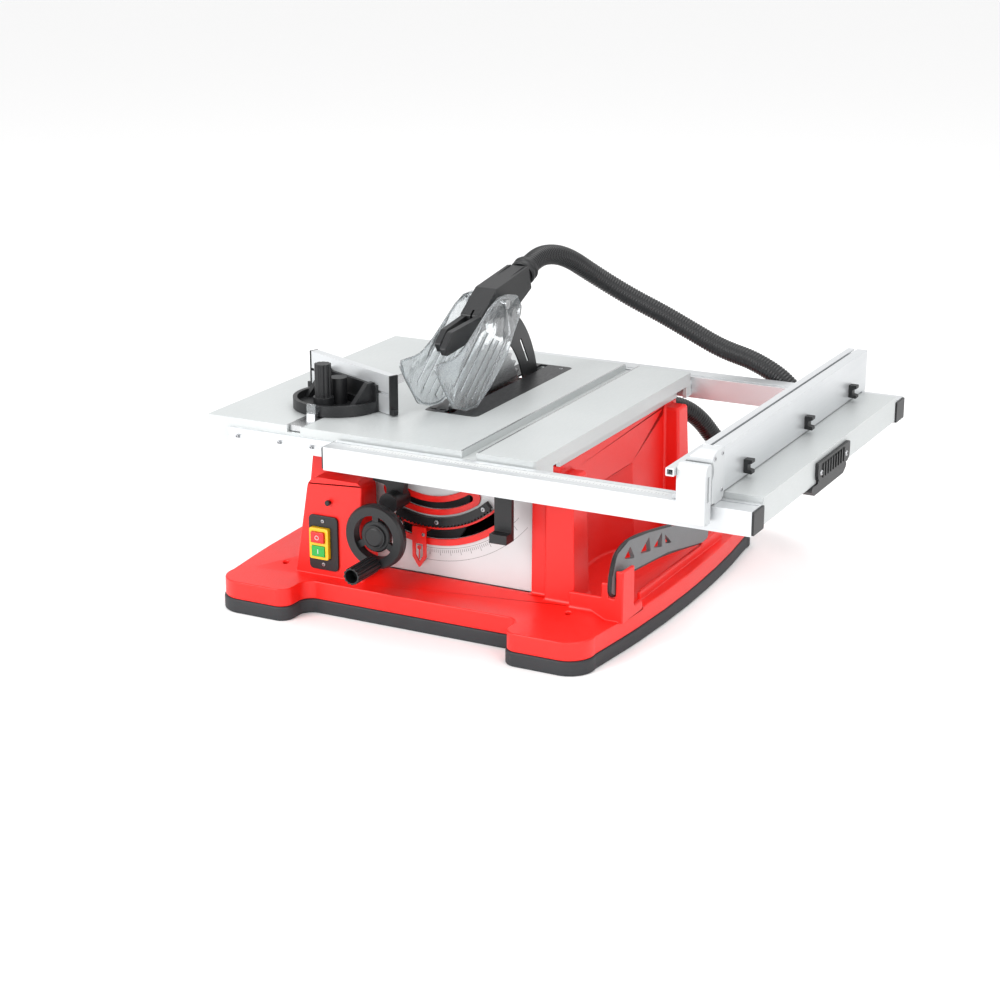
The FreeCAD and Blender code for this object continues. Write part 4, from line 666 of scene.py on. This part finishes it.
buttonMarks = {"startSize": (1.3, 0.3, 7), "startPlace": (-163, -270.1, 94),
               "stopPlace": (-163, -272.1, 116), "ringRadius": 3.2, "ringPoints": 12,
               "ringBead": 0.5}
bm = bmesh.new()
bar(bm, buttonMarks["startSize"], buttonMarks["startPlace"])
finishPiece("startMark", bm, "tapeWhite", "start")
ring = []
x, y, z = buttonMarks["stopPlace"]
for k in range(buttonMarks["ringPoints"]):
    turn = 2 * math.pi * k / buttonMarks["ringPoints"]
    ring.append((x + buttonMarks["ringRadius"] * math.cos(turn), y,
                 z + buttonMarks["ringRadius"] * math.sin(turn)))
beadAlong("stopMark", ring, buttonMarks["ringBead"], "tapeWhite", "stop",
          closed=True)
print("beads and fittings made")


# floor, light and camera

floorLook = {"size": 25.0, "colour": "#FDFDFD", "roughness": 0.9}


def makeFloor():
    bm = bmesh.new()
    bmesh.ops.create_grid(bm, x_segments=1, y_segments=1, size=floorLook["size"])
    mesh = bpy.data.meshes.new("floor")
    bm.to_mesh(mesh)
    bm.free()
    floor = bpy.data.objects.new("floor", mesh)
    bpy.context.scene.collection.objects.link(floor)
    material = bpy.data.materials.new("paleFloor")
    material.use_nodes = True
    shader = material.node_tree.nodes["Principled BSDF"]
    shader.inputs["Base Color"].default_value = linearColour(floorLook["colour"])
    shader.inputs["Roughness"].default_value = floorLook["roughness"]
    mesh.materials.append(material)


lights = [  # name, place, aim, size in metres, power in watts
    ("keyPanel", (-1.4, -2.9, 1.9), (0, 0, 0.15), 1.6, 74),
    ("fillPanel", (2.6, -1.9, 1.5), (0.1, 0, 0.2), 2.0, 32),
    ("topPanel", (0.2, 0.5, 3.0), (0, 0, 0.2), 2.2, 36),
]
surroundings = {"colour": (1, 1, 1, 1), "strength": 0.95}


def makeLights():
    for name, place, aim, size, power in lights:
        lamp = bpy.data.lights.new(name, "AREA")
        lamp.shape = "SQUARE"
        lamp.size = size
        lamp.energy = power
        holder = bpy.data.objects.new(name, lamp)
        holder.location = place
        facing = (Vector(aim) - Vector(place)).to_track_quat("-Z", "Y")
        holder.rotation_euler = facing.to_euler()
        bpy.context.scene.collection.objects.link(holder)
    world = bpy.data.worlds.new("studio")
    world.use_nodes = True
    background = world.node_tree.nodes["Background"]
    background.inputs["Color"].default_value = surroundings["colour"]
    background.inputs["Strength"].default_value = surroundings["strength"]
    bpy.context.scene.world = world


# place in metres, angles in degrees, lens and sensor in millimetres
cameraSet = {"place": (1.473, -2.846, 1.150), "azimuth": 27.31, "elevation": 17.79,
             "lens": 77.64, "sensor": 36, "sees": 60}


def makeCamera():
    lens = bpy.data.cameras.new("camera")
    lens.lens = cameraSet["lens"]
    lens.sensor_width = cameraSet["sensor"]
    lens.clip_end = cameraSet["sees"]
    holder = bpy.data.objects.new("camera", lens)
    azimuth = math.radians(cameraSet["azimuth"])
    elevation = math.radians(cameraSet["elevation"])
    aim = Vector((-math.sin(azimuth) * math.cos(elevation),
                  math.cos(azimuth) * math.cos(elevation), -math.sin(elevation)))
    holder.location = cameraSet["place"]
    holder.rotation_euler = aim.to_track_quat("-Z", "Y").to_euler()
    bpy.context.scene.collection.objects.link(holder)
    bpy.context.scene.camera = holder


makeFloor()
makeLights()
makeCamera()
bpy.context.scene.view_settings.view_transform = "Standard"
print("stage ready")
